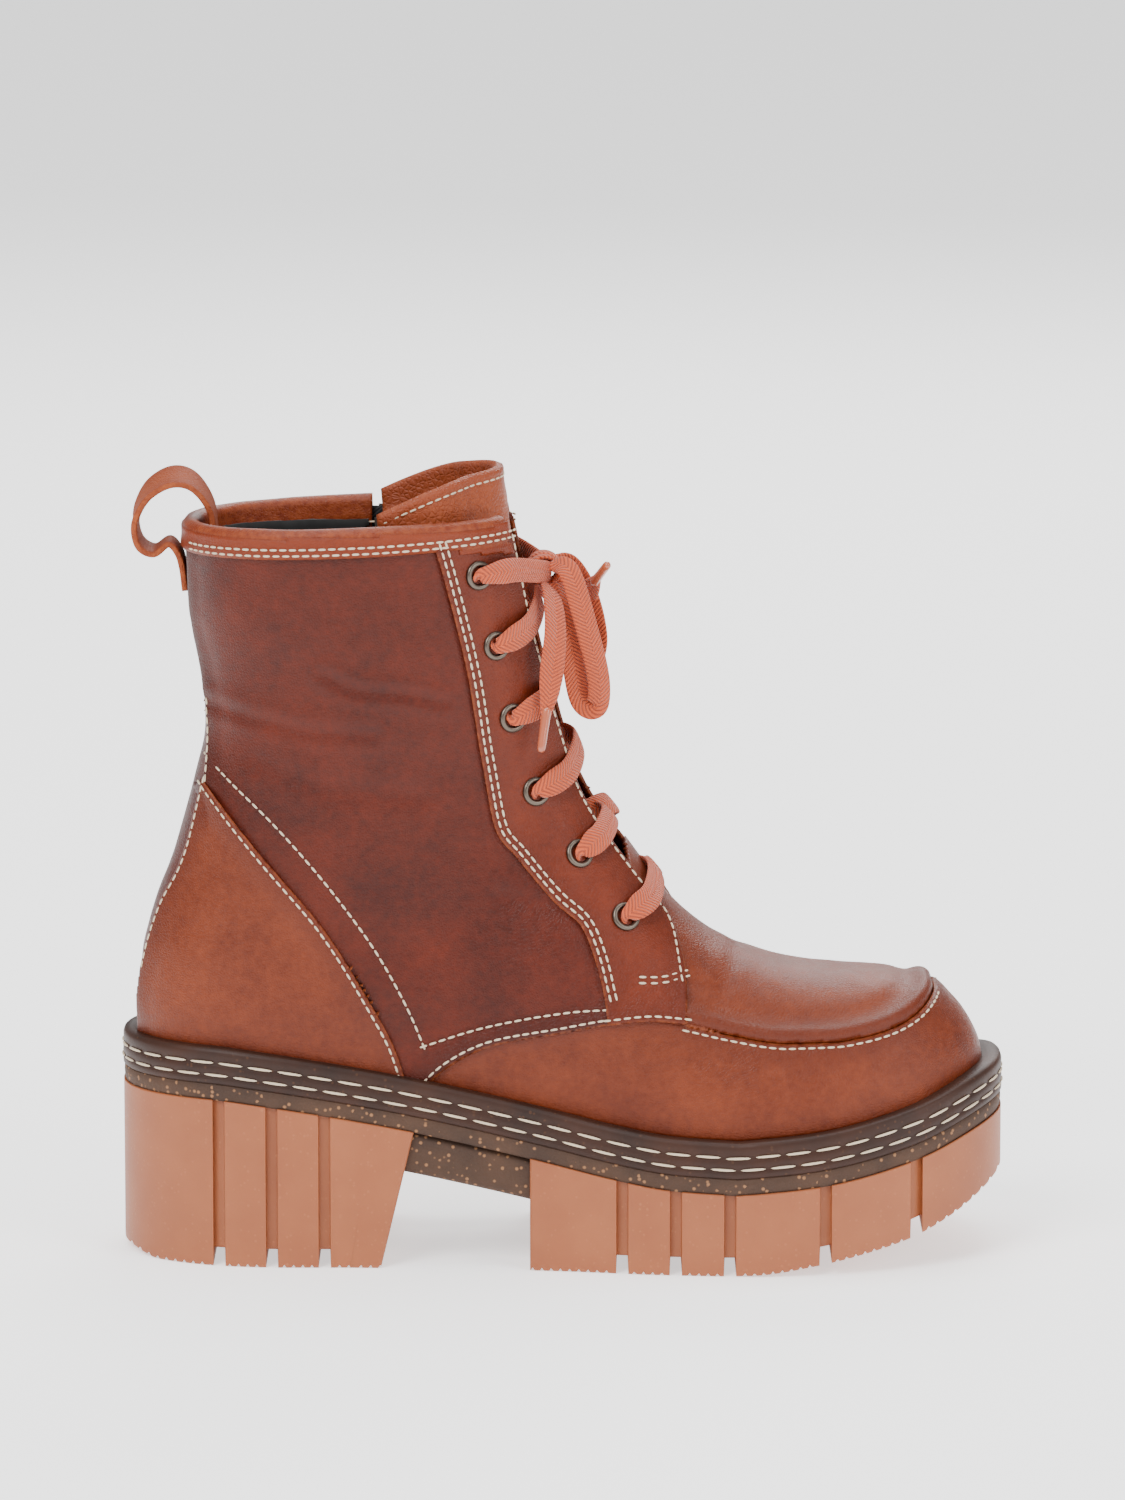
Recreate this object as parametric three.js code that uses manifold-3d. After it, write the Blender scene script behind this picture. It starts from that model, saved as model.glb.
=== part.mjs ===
// A right-foot lace-up ankle boot with a warm lining, a moccasin toe, an inside zip and a
// two-block lugged sole. Millimetres; +X towards the toe, +Y towards the inner (medial) side
// of the foot, +Z up; the origin is on the ground under the middle of the boot.
import * as THREE from "three";
import { mergeVertices } from "three/addons/utils/BufferGeometryUtils.js";
import Module from "manifold-3d";

const wasm = await Module();
wasm.setup();

// ---------------------------------------------------------------- driving dimensions
const UPPER_LENGTH = 267.5; // back of the heel to the toe tip, at the welt
const BALL_WIDTH = 93.3; // upper, across the ball of the foot
const SHAFT_WIDTH = 81.5; // upper, across the collar
const SHAFT_HEIGHT = 162.5; // welt to collar top, at the back
const HEEL_HEIGHT = 54; // lugged heel block, at the back
const BALL_HEIGHT = 26; // lugged forefoot block, under the ball
const TOE_SPRING = 20; // rise of the sole's top from ball to toe
const MIDSOLE_THICKNESS = 6.5;
const WELT_THICKNESS = 9.5;
const WELT_MARGIN = 6; // how far the sole stands out past the upper
const ARCH_DEPTH = 15.5; // midsole below its own line, between the two blocks

const LEATHER = 1.8;
const STIFFENER = 1;
const LINING = 2.8;
const FEATHER_GAP = 0.45; // between the welt and the upper on it
const LAYER_GAP = 0.3; // between two layers, and between two pieces that touch
const SEAM_GAP = 0.4; // between two panels, side by side
const INSOLE_BOARD = 2.2;
const FOOTBED = 4;
const SHANK = { width: 14, thickness: 1.8, from: -85, to: 15 };
const TONGUE_THICKNESS = 3.2;

const LUG_GROOVE = 3.6; // width of the gaps between lugs
const LUG_RECESS = 2.4; // how far a gap is cut into the sole's side
const TREAD_DEPTH = 5.4; // height of the channels under the sole

const EYELET = { bore: 2.6, barrel: 3.1, flange: 4.5, sheet: 0.6, hole: 3.6 };
const LACE_RADIUS = 1.4;
const AGLET = { radius: 1.25, length: 14 };
const ZIP = { gap: 4.5, tape: 12, tapeGap: 0.8, row: 2.5, rowGap: 0.6, lining: 8 };
const SLIDER = { length: 10, width: 8, plate: 1, web: 0.6 };
const PULL = { width: 6, length: 20, thickness: 1.2, eye: 1.35, bore: 0.62, pin: 0.55 };
const LOOP = { width: 18, thickness: 2.2 };

const GRID_AROUND = 10; // facets along each side of the upper
const GRID_UP = 13; // facets from the welt to the top

// The patterns below are drawn on a boot of these sizes and graded to the sizes above.
const DRAWN = { length: 267.5, ball: 93.3, shaft: 81.5, height: 162.5 };

// ---------------------------------------------------------------- curves
const clamp = (value, low, high) => Math.min(high, Math.max(low, value));
const mix = (a, b, share) => a + (b - a) * share;
const ease = (share) => {
  const s = clamp(share, 0, 1);
  return s * s * (3 - 2 * s);
};
const roundOff = (share, power) => Math.pow(Math.max(0, 1 - Math.pow(clamp(share, 0, 1), power)), 1 / power);

// A smooth height over x through the points, with no overshoot between them.
function smoothCurve(points) {
  const last = points.length - 1;
  const step = (i) => points[i + 1][0] - points[i][0];
  const rise = (i) => (points[i + 1][1] - points[i][1]) / step(i);
  const slopes = points.map((_, i) => {
    if (i === 0 || i === last) return rise(Math.min(i, last - 1));
    const before = rise(i - 1);
    const after = rise(i);
    return before * after <= 0 ? 0 : (2 * before * after) / (before + after);
  });
  return (x) => {
    const held = clamp(x, points[0][0], points[last][0]);
    let i = 0;
    while (i < last - 1 && held > points[i + 1][0]) i += 1;
    const h = step(i);
    const u = (held - points[i][0]) / h;
    const bend = u * u * (3 - 2 * u);
    return (
      mix(points[i][1], points[i + 1][1], bend) +
      h * (slopes[i] * u * (1 - u) * (1 - u) - slopes[i + 1] * u * u * (1 - u))
    );
  };
}

// A point list as closely spaced points of one smooth curve.
function fine(points, count) {
  const xs = smoothCurve(points.map((p, i) => [i, p[0]]));
  const ys = smoothCurve(points.map((p, i) => [i, p[1]]));
  const span = points.length - 1;
  return Array.from({ length: count + 1 }, (_, k) => [xs((k * span) / count), ys((k * span) / count)]);
}

// Reads coordinate `to` of a fine curve where its coordinate `from` has the given value.
function readOff(samples, from, to) {
  const rising = samples[0][from] < samples[samples.length - 1][from];
  const sorted = rising ? samples : [...samples].reverse();
  return (value) => {
    let low = 0;
    let high = sorted.length - 1;
    if (value <= sorted[low][from]) return sorted[low][to];
    if (value >= sorted[high][from]) return sorted[high][to];
    while (high - low > 1) {
      const middle = (low + high) >> 1;
      if (sorted[middle][from] <= value) low = middle;
      else high = middle;
    }
    const span = sorted[high][from] - sorted[low][from];
    return mix(sorted[low][to], sorted[high][to], (value - sorted[low][from]) / span);
  };
}

// ---------------------------------------------------------------- sole line and grading
const heelShare = smoothCurve([
  [-141, 1], [-112, 0.98], [-94, 0.915], [-75, 0.81], [-47, 0.63], [-10, 0.35],
  [15, 0.15], [34, 0.04], [54, 0],
]);
const toeShare = smoothCurve([[54, 0], [80, 0.13], [110, 0.46], [133, 0.88], [141, 1]]);
const drawnSoleTop = (x) => 26 + (x < 54 ? 28 * heelShare(x) : 20 * toeShare(x));
const drawnWelt = (x) => drawnSoleTop(x) + 16;

const gradeX = (x) => (x * UPPER_LENGTH) / DRAWN.length;
const drawnX = (x) => (x * DRAWN.length) / UPPER_LENGTH;
function soleTop(x) {
  const d = drawnX(x);
  return BALL_HEIGHT + (d < 54 ? (HEEL_HEIGHT - BALL_HEIGHT) * heelShare(d) : TOE_SPRING * toeShare(d));
}
const midsoleTop = (x) => soleTop(x) + MIDSOLE_THICKNESS;
const weltTop = (x) => midsoleTop(x) + WELT_THICKNESS;
const gradeZ = (x, z) => weltTop(gradeX(x)) + ((z - drawnWelt(x)) * SHAFT_HEIGHT) / DRAWN.height;
const gradeSide = ([x, z]) => [gradeX(x), gradeZ(x, z)];

// ---------------------------------------------------------------- the upper's outer surface
// Side profile, drawn: the back from heel to collar, and the front from toe tip to tongue top.
const HEEL_X = -134.5;
const TOE_X = 133;
const BACK = fine([
  [HEEL_X, drawnWelt(HEEL_X)], [-135.6, 80], [-134.3, 95], [-130.2, 111], [-124, 127], [-117.6, 150],
  [-113.8, 169], [-114.4, 184], [-117.6, 207], [-118.8, 225], [-119, 240], [-119, 262],
], 160);
const FRONT = fine([
  [TOE_X, drawnWelt(TOE_X)], [132.4, 64], [129.5, 71], [124, 78.5], [117, 84], [108, 87.3], [97, 88.4],
  [86, 89], [74, 90.4], [60, 94], [45, 101], [34, 110.2], [24, 123.5], [14, 137.5], [6, 150],
  [-1.8, 174], [-7.6, 195], [-11.7, 213], [-15.2, 230], [-18.2, 250], [-20, 262],
], 320);
const backX = readOff(BACK, 1, 0);
const frontX = readOff(FRONT, 1, 0);
const ridgeZ = readOff(FRONT, 0, 1);

const CLOSING_X = 60; // the toe's round starts here
const CALF_BACK = 52; // from the back of the shaft to its widest line
const SIDES = {
  lateral: {
    sign: -1,
    foot: smoothCurve([[-90, 33.5], [-60, 34], [-30, 35.5], [0, 38.8], [30, 44], [60, 46.8]]),
    shaft: smoothCurve([
      [60, 33.5], [85, 34.5], [110, 34], [150, 34.5], [180, 37], [210, 39.5], [235, 41], [262, 42],
    ]),
    toePower: 2.15,
  },
  medial: {
    sign: 1,
    foot: smoothCurve([[-90, 33], [-60, 33], [-30, 33.8], [0, 37.5], [30, 43.5], [60, 46.5]]),
    shaft: smoothCurve([[60, 33], [90, 33.6], [235, 40.5], [262, 41.6]]),
    toePower: 2.7,
  },
};

// Half width of the upper at a drawn side-view point. Over the foot it is the plan outline,
// rounded over towards the ridge; around the shaft it is a rounded oval at each height.
function halfWidth(x, z, side) {
  const floor = drawnWelt(x);
  const ridge = x < -20 ? 262 - (x + 20) * 20 : ridgeZ(x);
  const plan = side.foot(x) * roundOff((x - CLOSING_X) / (TOE_X - CLOSING_X), side.toePower);
  const overFoot = plan * roundOff((z - floor) / Math.max(0.01, ridge - floor), 2.3);
  const middle = backX(z) + CALF_BACK;
  const along = x < middle ? (middle - x) / CALF_BACK : (x - middle) / (frontX(z) - middle);
  const aroundShaft = side.shaft(z) * roundOff(along, x < middle ? 2.3 : 2.5);
  const forward = (x + 30) * 0.75 - (z - 100) * 0.65;
  return mix(overFoot, aroundShaft, ease((25 - forward) / 45));
}

// Widths are graded between the ball's scale and the shaft's.
function widthScale(z) {
  return mix(BALL_WIDTH / DRAWN.ball, SHAFT_WIDTH / DRAWN.shaft, ease((z - 95) / 60));
}

const frontLength = (() => {
  const sums = [0];
  for (let i = 1; i < FRONT.length; i += 1) {
    sums.push(sums[i - 1] + Math.hypot(FRONT[i][0] - FRONT[i - 1][0], FRONT[i][1] - FRONT[i - 1][1]));
  }
  return sums;
})();
const FRONT_TOTAL = frontLength[frontLength.length - 1];
const frontXAt = readOff(FRONT.map((p, i) => [frontLength[i], p[0]]), 0, 1);
const frontZAt = readOff(FRONT.map((p, i) => [frontLength[i], p[1]]), 0, 1);
const reachAtZ = readOff(FRONT.map((p, i) => [p[1], frontLength[i]]), 0, 1);
const backZAt = smoothCurve([
  [0, drawnWelt(HEEL_X)], [35, 80], [80, 94], [127, 116], [reachAtZ(150), 150], [reachAtZ(235), 235], [FRONT_TOTAL, 262],
]);

// Drawn side-view point of row `reach` (length along the front profile) at share `t` from the back.
function rowPoint(reach, t) {
  const backZ = backZAt(reach);
  const x = mix(backX(backZ), frontXAt(reach), (1 - Math.cos(Math.PI * t)) / 2);
  const share = (x - backX(backZ)) / (frontXAt(reach) - backX(backZ));
  const straight = mix(backZ, frontZAt(reach), share);
  const along = (x - BACK[0][0]) / (TOE_X - BACK[0][0]);
  const sag = drawnWelt(x) - mix(drawnWelt(BACK[0][0]), drawnWelt(TOE_X), along);
  const fade = Math.pow(clamp(1 - reach / 127, 0, 1), 2);
  return [x, straight + sag * fade];
}

function surfacePoint(reach, t, side) {
  const [x, z] = rowPoint(reach, t);
  const y = t <= 0 || t >= 1 ? 0 : halfWidth(x, z, side) * widthScale(z) * side.sign;
  return new THREE.Vector3(gradeX(x), y, gradeZ(x, z) + FEATHER_GAP);
}

function surfaceNormal(reach, t, side) {
  const r = clamp(reach, 0.5, FRONT_TOTAL - 0.5);
  const u = clamp(t, 0.012, 0.988);
  const along = surfacePoint(r, u + 0.01, side).sub(surfacePoint(r, u - 0.01, side));
  const up = surfacePoint(r + 0.5, u, side).sub(surfacePoint(r - 0.5, u, side));
  const normal = side.sign < 0 ? along.cross(up) : up.cross(along);
  if (t < 0.001 || t > 0.999) normal.y = 0;
  if (reach <= 0) normal.z = 0;
  return normal.normalize();
}

// Point on the outer surface at a drawn side-view place, moved out by `offset` along the normal.
function onUpper([x, z], side, offset) {
  const at = (px, pz) =>
    new THREE.Vector3(gradeX(px), halfWidth(px, pz, side) * widthScale(pz) * side.sign, gradeZ(px, pz) + FEATHER_GAP);
  const along = at(x + 0.5, z).sub(at(x - 0.5, z));
  const up = at(x, z + 0.5).sub(at(x, z - 0.5));
  const normal = (side.sign < 0 ? along.cross(up) : up.cross(along)).normalize();
  return { point: at(x, z).addScaledVector(normal, offset), normal };
}

// ---------------------------------------------------------------- solids
function solidOf(geometry) {
  const bare = geometry.clone();
  bare.deleteAttribute("normal");
  bare.deleteAttribute("uv");
  const merged = mergeVertices(bare, 1e-4);
  return new wasm.Manifold(
    new wasm.Mesh({
      numProp: 3,
      vertProperties: new Float32Array(merged.attributes.position.array),
      triVerts: new Uint32Array(merged.index.array),
    }),
  );
}

function geometryOf(solid) {
  const mesh = solid.getMesh();
  const geometry = new THREE.BufferGeometry();
  geometry.setAttribute("position", new THREE.BufferAttribute(new Float32Array(mesh.vertProperties), 3));
  geometry.setIndex(new THREE.BufferAttribute(new Uint32Array(mesh.triVerts), 1));
  geometry.computeVertexNormals();
  return geometry;
}

const largest = (solid) => solid.decompose().sort((a, b) => b.volume() - a.volume())[0];

// A closed skin from an outer and an inner grid of points. Rings close on themselves;
// patches get side walls.
function slabGeometry(outer, inner, ring) {
  const rows = outer.length;
  const columns = outer[0].length;
  const positions = [...outer.flat(), ...inner.flat()].flatMap((p) => [p.x, p.y, p.z]);
  const index = [];
  const outerAt = (i, j) => i * columns + (j % columns);
  const innerAt = (i, j) => rows * columns + outerAt(i, j);
  const quad = (a, b, c, d) => index.push(a, b, c, a, c, d);
  const wide = ring ? columns : columns - 1;
  for (let j = 0; j < wide; j += 1) {
    for (let i = 0; i < rows - 1; i += 1) {
      quad(outerAt(i, j), outerAt(i, j + 1), outerAt(i + 1, j + 1), outerAt(i + 1, j));
      quad(innerAt(i, j), innerAt(i + 1, j), innerAt(i + 1, j + 1), innerAt(i, j + 1));
    }
    quad(innerAt(0, j), innerAt(0, j + 1), outerAt(0, j + 1), outerAt(0, j));
    quad(outerAt(rows - 1, j), outerAt(rows - 1, j + 1), innerAt(rows - 1, j + 1), innerAt(rows - 1, j));
  }
  for (let i = 0; !ring && i < rows - 1; i += 1) {
    quad(outerAt(i, 0), outerAt(i + 1, 0), innerAt(i + 1, 0), innerAt(i, 0));
    quad(innerAt(i, wide), innerAt(i + 1, wide), outerAt(i + 1, wide), outerAt(i, wide));
  }
  const geometry = new THREE.BufferGeometry();
  geometry.setAttribute("position", new THREE.Float32BufferAttribute(positions, 3));
  geometry.setIndex(index);
  return geometry;
}

// One layer of the upper, between two depths under its outer surface.
function upperLayer(depth, thickness) {
  const ringAt = (row, offset) => {
    const reach = (FRONT_TOTAL * row) / GRID_UP;
    const ring = [];
    for (let k = 0; k < 2 * GRID_AROUND; k += 1) {
      const side = k <= GRID_AROUND ? SIDES.lateral : SIDES.medial;
      const t = k <= GRID_AROUND ? k / GRID_AROUND : 2 - k / GRID_AROUND;
      ring.push(surfacePoint(reach, t, side).addScaledVector(surfaceNormal(reach, t, side), -offset));
    }
    return ring;
  };
  const rings = (offset) => Array.from({ length: GRID_UP + 1 }, (_, row) => ringAt(row, offset));
  return solidOf(slabGeometry(rings(depth), rings(depth + thickness), true));
}

// Moves every corner of a closed outline inwards by a distance; a negative one moves it out.
function insetOutline(points, distance) {
  const area = THREE.ShapeUtils.area(points.map(([x, y]) => new THREE.Vector2(x, y)));
  const turn = Math.sign(area) * distance;
  return points.map((p, i) => {
    const before = points[(i + points.length - 1) % points.length];
    const after = points[(i + 1) % points.length];
    const a = new THREE.Vector2(p[0] - before[0], p[1] - before[1]).normalize();
    const b = new THREE.Vector2(after[0] - p[0], after[1] - p[1]).normalize();
    const normal = new THREE.Vector2(-a.y - b.y, a.x + b.x).normalize();
    const stretch = Math.min(2.5, 1 / Math.max(0.2, -a.y * normal.x + a.x * normal.y));
    return [p[0] + normal.x * turn * stretch, p[1] + normal.y * turn * stretch];
  });
}

const shapeOf = (points) => new THREE.Shape(points.map(([x, y]) => new THREE.Vector2(x, y)));
const FAR = 120;

// A side-view outline extruded across the boot, from y = low to y = high.
function acrossPrism(points, low, high) {
  const geometry = new THREE.ExtrudeGeometry(shapeOf(points), { depth: high - low, bevelEnabled: false });
  return solidOf(geometry.rotateX(Math.PI / 2).translate(0, high, 0));
}

// Every line of the sole bends at these places along the boot.
const STATIONS = Array.from({ length: 23 }, (_, k) => gradeX(-143 + 13 * k));
const flip = (line) => [...line].reverse();

// A plan outline extruded upwards, cut to the band between two side-view lines.
function plank(outline, bottom, top) {
  const lower = STATIONS.map((x) => [x, bottom(x)]);
  const upper = flip(STATIONS).map((x) => [x, top(x)]);
  const column = new THREE.ExtrudeGeometry(shapeOf(outline), { depth: 2 * FAR, bevelEnabled: false });
  return solidOf(column).intersect(acrossPrism([...lower, ...upper], -FAR, FAR));
}

function boxSolid(low, high) {
  const size = high.map((h, i) => h - low[i]);
  const middle = high.map((h, i) => (h + low[i]) / 2);
  return solidOf(new THREE.BoxGeometry(...size).translate(...middle));
}

// ---------------------------------------------------------------- materials and the group
const boot = new THREE.Group();
boot.name = "boot";
const FINISHES = {
  leather: { color: 0x8a4526, roughness: 0.5, metalness: 0 },
  fleece: { color: 0x141414, roughness: 0.95, metalness: 0 },
  board: { color: 0xb79a72, roughness: 0.9, metalness: 0 },
  steel: { color: 0x9a9c9e, roughness: 0.35, metalness: 1 },
  gum_rubber: { color: 0xb9835e, roughness: 0.6, metalness: 0 },
  cork_mix: { color: 0x54402e, roughness: 0.85, metalness: 0 },
  welt: { color: 0x2c1a14, roughness: 0.45, metalness: 0 },
  antique_brass: { color: 0x4a4238, roughness: 0.4, metalness: 1 },
  lace: { color: 0xb5603c, roughness: 0.9, metalness: 0 },
  aglet: { color: 0xa8695a, roughness: 0.3, metalness: 0 },
  zip_tape: { color: 0x101012, roughness: 0.9, metalness: 0 },
};

function add(name, finish, geometry) {
  const mesh = new THREE.Mesh(geometry, new THREE.MeshStandardMaterial(FINISHES[finish]));
  mesh.name = name;
  boot.add(mesh);
  return mesh;
}
const addSolid = (name, finish, solid) => add(name, finish, geometryOf(largest(solid)));

// ---------------------------------------------------------------- sole
const feather = (() => {
  const lateral = Array.from({ length: 21 }, (_, k) => surfacePoint(0, k / 20, SIDES.lateral));
  const medial = Array.from({ length: 19 }, (_, k) => surfacePoint(0, (19 - k) / 20, SIDES.medial));
  return [...lateral, ...medial].map((p) => [p.x, p.y]);
})();
const soleOutline = insetOutline(feather, -WELT_MARGIN);
const weltOutline = insetOutline(feather, 0.8 - WELT_MARGIN);
const cavityOutline = insetOutline(feather, 3.5);
const groundLine = smoothCurve([
  [48, 0], [60, 0.4], [80, 3.4], [95, 6.6], [109, 10.4], [122, 16], [133, 22.5], [141, 28],
].map(([x, z]) => [gradeX(x), (z * TOE_SPRING) / 20]));

const BREAST = { top: gradeX(-47.5), bottom: gradeX(-58) };
const FOREFOOT_BACK = gradeX(-11);
const HEEL_LUGS = [-109, -92.3, -75.7].map(gradeX);
const FOREFOOT_LUGS = [18, 34.8, 51.8, 81.8, 110.6].map(gradeX);
const soleBack = Math.min(...soleOutline.map(([x]) => x));
const soleFront = Math.max(...soleOutline.map(([x]) => x));

// Slots down both sides of a block at each lug gap, and the channel under it.
function lugCuts(places, floorAt) {
  const wall = insetOutline(soleOutline, LUG_RECESS);
  const outer = insetOutline(soleOutline, -5);
  const rim = solidOf(new THREE.ExtrudeGeometry(shapeOf(outer), { depth: FAR, bevelEnabled: false })).subtract(
    solidOf(
      new THREE.ExtrudeGeometry(shapeOf(wall), { depth: FAR + 2, bevelEnabled: false }).translate(0, 0, -1),
    ),
  );
  return places.map((x) => {
    const slot = boxSolid([x - LUG_GROOVE / 2, -FAR, -5], [x + LUG_GROOVE / 2, FAR, FAR]).intersect(rim);
    const floor = floorAt(x + LUG_GROOVE / 2);
    const channel = boxSolid(
      [x - LUG_GROOVE / 2, -FAR, -5],
      [x + LUG_GROOVE / 2, FAR, floor + TREAD_DEPTH],
    );
    return slot.add(channel);
  });
}

function heelBlock() {
  const bevel = smoothCurve([[soleBack - 1, 2.5], [soleBack + 6, 0.8], [soleBack + 14, 0]]);
  const breast = acrossPrism(
    [[BREAST.bottom, -5], [BREAST.top, soleTop(BREAST.top)], [BREAST.top, FAR], [-2 * FAR, FAR], [-2 * FAR, -5]],
    -FAR,
    FAR,
  );
  const block = plank(soleOutline, (x) => (x < soleBack + 14 ? bevel(x) : 0), soleTop).intersect(breast);
  return lugCuts(HEEL_LUGS, () => 0).reduce((solid, cut) => solid.subtract(cut), block);
}

const treadLine = (x) => Math.max(0, groundLine(x));
function forefootBlock() {
  const block = plank(soleOutline, treadLine, soleTop).intersect(
    boxSolid([FOREFOOT_BACK, -FAR, -5], [2 * FAR, FAR, FAR]),
  );
  return lugCuts(FOREFOOT_LUGS, treadLine).reduce((solid, cut) => solid.subtract(cut), block);
}

// The midsole fills down between the two blocks, to form the arch.
function midsole() {
  const slab = plank(weltOutline, (x) => soleTop(x) + LAYER_GAP, midsoleTop);
  const x0 = BREAST.top + 2;
  const x1 = FOREFOOT_BACK - LAYER_GAP;
  const shank = acrossPrism(
    [
      [x0, soleTop(x0) + 1], [x0 - 3, soleTop(x0) + 1 - ARCH_DEPTH], [x1, soleTop(x1) - ARCH_DEPTH],
      [x1, soleTop(x1) + 1],
    ],
    -FAR,
    FAR,
  );
  const arch = insetOutline(soleOutline, 2);
  const column = solidOf(new THREE.ExtrudeGeometry(shapeOf(arch), { depth: FAR, bevelEnabled: false }));
  const breast = acrossPrism(
    [
      [BREAST.bottom - 40, -5], [BREAST.bottom + LAYER_GAP, 0 - 5],
      [BREAST.top + 0.6 + (BREAST.top - BREAST.bottom) * 0.1, soleTop(BREAST.top) + LAYER_GAP],
      [BREAST.bottom - 40, soleTop(BREAST.top) + LAYER_GAP],
    ],
    -FAR,
    FAR,
  );
  return slab.add(column.intersect(shank).subtract(breast));
}

addSolid("heel_block", "gum_rubber", heelBlock());
addSolid("forefoot_block", "gum_rubber", forefootBlock());
addSolid("midsole", "cork_mix", midsole());
addSolid(
  "welt",
  "welt",
  plank(weltOutline, (x) => midsoleTop(x) + LAYER_GAP, weltTop).subtract(plank(cavityOutline, () => -10, () => FAR)),
);
const fillerTop = (x) => weltTop(x) - INSOLE_BOARD - LAYER_GAP;
const shankBottom = (x) => fillerTop(x) - SHANK.thickness - LAYER_GAP;
const insideOutline = insetOutline(cavityOutline, LAYER_GAP + 0.2);
const shankOutline = (grow) => [
  [gradeX(SHANK.from) - grow, -SHANK.width / 2 - grow], [gradeX(SHANK.to) + grow, -SHANK.width / 2 - grow],
  [gradeX(SHANK.to) + grow, SHANK.width / 2 + grow], [gradeX(SHANK.from) - grow, SHANK.width / 2 + grow],
];
addSolid(
  "bottom_filler",
  "cork_mix",
  plank(insideOutline, (x) => midsoleTop(x) + LAYER_GAP, fillerTop).subtract(
    plank(shankOutline(LAYER_GAP), (x) => shankBottom(x) - 0.5, () => FAR),
  ),
);
addSolid(
  "shank",
  "steel",
  plank(shankOutline(0), (x) => shankBottom(x), (x) => fillerTop(x) - LAYER_GAP),
);
addSolid("insole_board", "board", plank(insideOutline, (x) => weltTop(x) - INSOLE_BOARD, weltTop));
const liningDepth = LEATHER + STIFFENER + 2 * LAYER_GAP;
const upperDepth = liningDepth + LINING;
const footOutline = insetOutline(feather, upperDepth + 2.5);
addSolid(
  "footbed",
  "fleece",
  plank(footOutline, (x) => weltTop(x) + LAYER_GAP, (x) => weltTop(x) + LAYER_GAP + FOOTBED),
);

// ---------------------------------------------------------------- pattern lines of the upper (drawn, side view)
const BACKSTAY_EDGE = [
  [-133.2, 60], [-133.8, 80], [-131.8, 95], [-127, 111], [-119.5, 127], [-112.8, 152.5],
  [-111.4, 169], [-112.8, 184], [-116.6, 207], [-117.6, 226],
];
const COUNTER_EDGE = [[-112.8, 152.5], [-94, 130], [-75.5, 107.7], [-62.6, 87], [-53.3, 69.4], [-49.6, 58]];
const VAMP_EDGE = [
  [-45, 56], [-37, 63.5], [-22.8, 70.8], [-0.7, 75.3], [13.6, 78], [26, 79.6], [38.2, 77.8],
];
const APRON_EDGE = [
  [38.2, 77.8], [52.8, 74.4], [70, 71.9], [84.6, 72], [93.5, 73], [102.7, 75], [110, 78], [115.5, 82],
  [119, 86],
];
const FACING_REAR = [
  [13.6, 78], [12.6, 86], [9.2, 98.6], [5, 108.2], [-3.2, 115.7], [-15.5, 130], [-21.8, 138],
  [-26.5, 161], [-30.7, 187], [-39, 222], [-41, 229],
];
const FACING_FRONT = [
  [38.2, 77.8], [37.6, 91], [34.4, 103], [31.3, 109], [25, 117], [10, 137], [3.3, 148.5],
  [-4.5, 173], [-10.5, 195], [-14.5, 213], [-18, 229.8],
];
const COLLAR_SEAM = [[-150, 225.5], [-117.6, 226], [-95, 226.6], [-60, 228], [-41, 229], [-18, 229.8], [20, 230]];
const COLLAR_TOP = [[-150, 233.5], [-119, 233.5], [-95, 234], [-60, 235.3], [-41, 236], [-12, 236.5]];
const ZIP_TOP = [-57, 233];
const ZIP_BOTTOM = [-48, 84];
const zipX = (z) => mix(ZIP_BOTTOM[0], ZIP_TOP[0], (z - ZIP_BOTTOM[1]) / (ZIP_TOP[1] - ZIP_BOTTOM[1]));
const between = (line, low, high) => line.filter(([x]) => x >= low - 0.01 && x <= high + 0.01);

// ---------------------------------------------------------------- leather panels
const leather = upperLayer(0, LEATHER);
const filling = upperLayer(LEATHER + LAYER_GAP, STIFFENER);
const fleece = upperLayer(liningDepth, LINING);

const halves = { lateral: [-FAR, -LAYER_GAP / 2], medial: [LAYER_GAP / 2, FAR], both: [-FAR, FAR] };
function panel(layer, outline, half, gap = SEAM_GAP / 2) {
  const graded = insetOutline(outline.map(gradeSide), gap);
  return layer.intersect(acrossPrism(graded, ...halves[half]));
}

// Side-view strip about the zip line, `from` to `to` in front of it, between two heights.
function zipStrip(from, to, low, high) {
  return [[zipX(low) + from, low], [zipX(low) + to, low], [zipX(high) + to, high], [zipX(high) + from, high]];
}

const counterOutline = [
  ...BACKSTAY_EDGE.slice(0, 6), ...COUNTER_EDGE.slice(1), [-49.6, 20], [-133.2, 20],
];
const quarterOutline = [
  ...BACKSTAY_EDGE.slice(5), ...between(COLLAR_SEAM, -110, -41), ...flip(FACING_REAR).slice(1),
  ...flip(between(VAMP_EDGE, -45, 0)), [-45, 20], [-49.6, 20], ...flip(COUNTER_EDGE).slice(0, -1),
];
const facingOutline = [
  ...FACING_REAR, ...flip(FACING_FRONT), ...flip(between(VAMP_EDGE, 20, 30)),
];
const apronOutline = [
  ...FACING_FRONT.slice(0, 5), [45, 135], [150, 135], [150, 100], ...flip(APRON_EDGE.slice(1)),
];

const EYELETS = [[-27.8, 219.5], [-22.4, 197], [-17.2, 174], [-9.8, 150], [3.8, 130], [18.5, 110.5]];
function eyeletHoles(side) {
  return EYELETS.map((place) => {
    const { point, normal } = onUpper(place, side, 0);
    const drill = new THREE.CylinderGeometry(EYELET.hole, EYELET.hole, 26, 8);
    drill.applyQuaternion(new THREE.Quaternion().setFromUnitVectors(new THREE.Vector3(0, 1, 0), normal));
    return solidOf(drill.translate(point.x, point.y, point.z));
  }).reduce((all, one) => all.add(one));
}
const holes = { lateral: eyeletHoles(SIDES.lateral), medial: eyeletHoles(SIDES.medial) };

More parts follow.
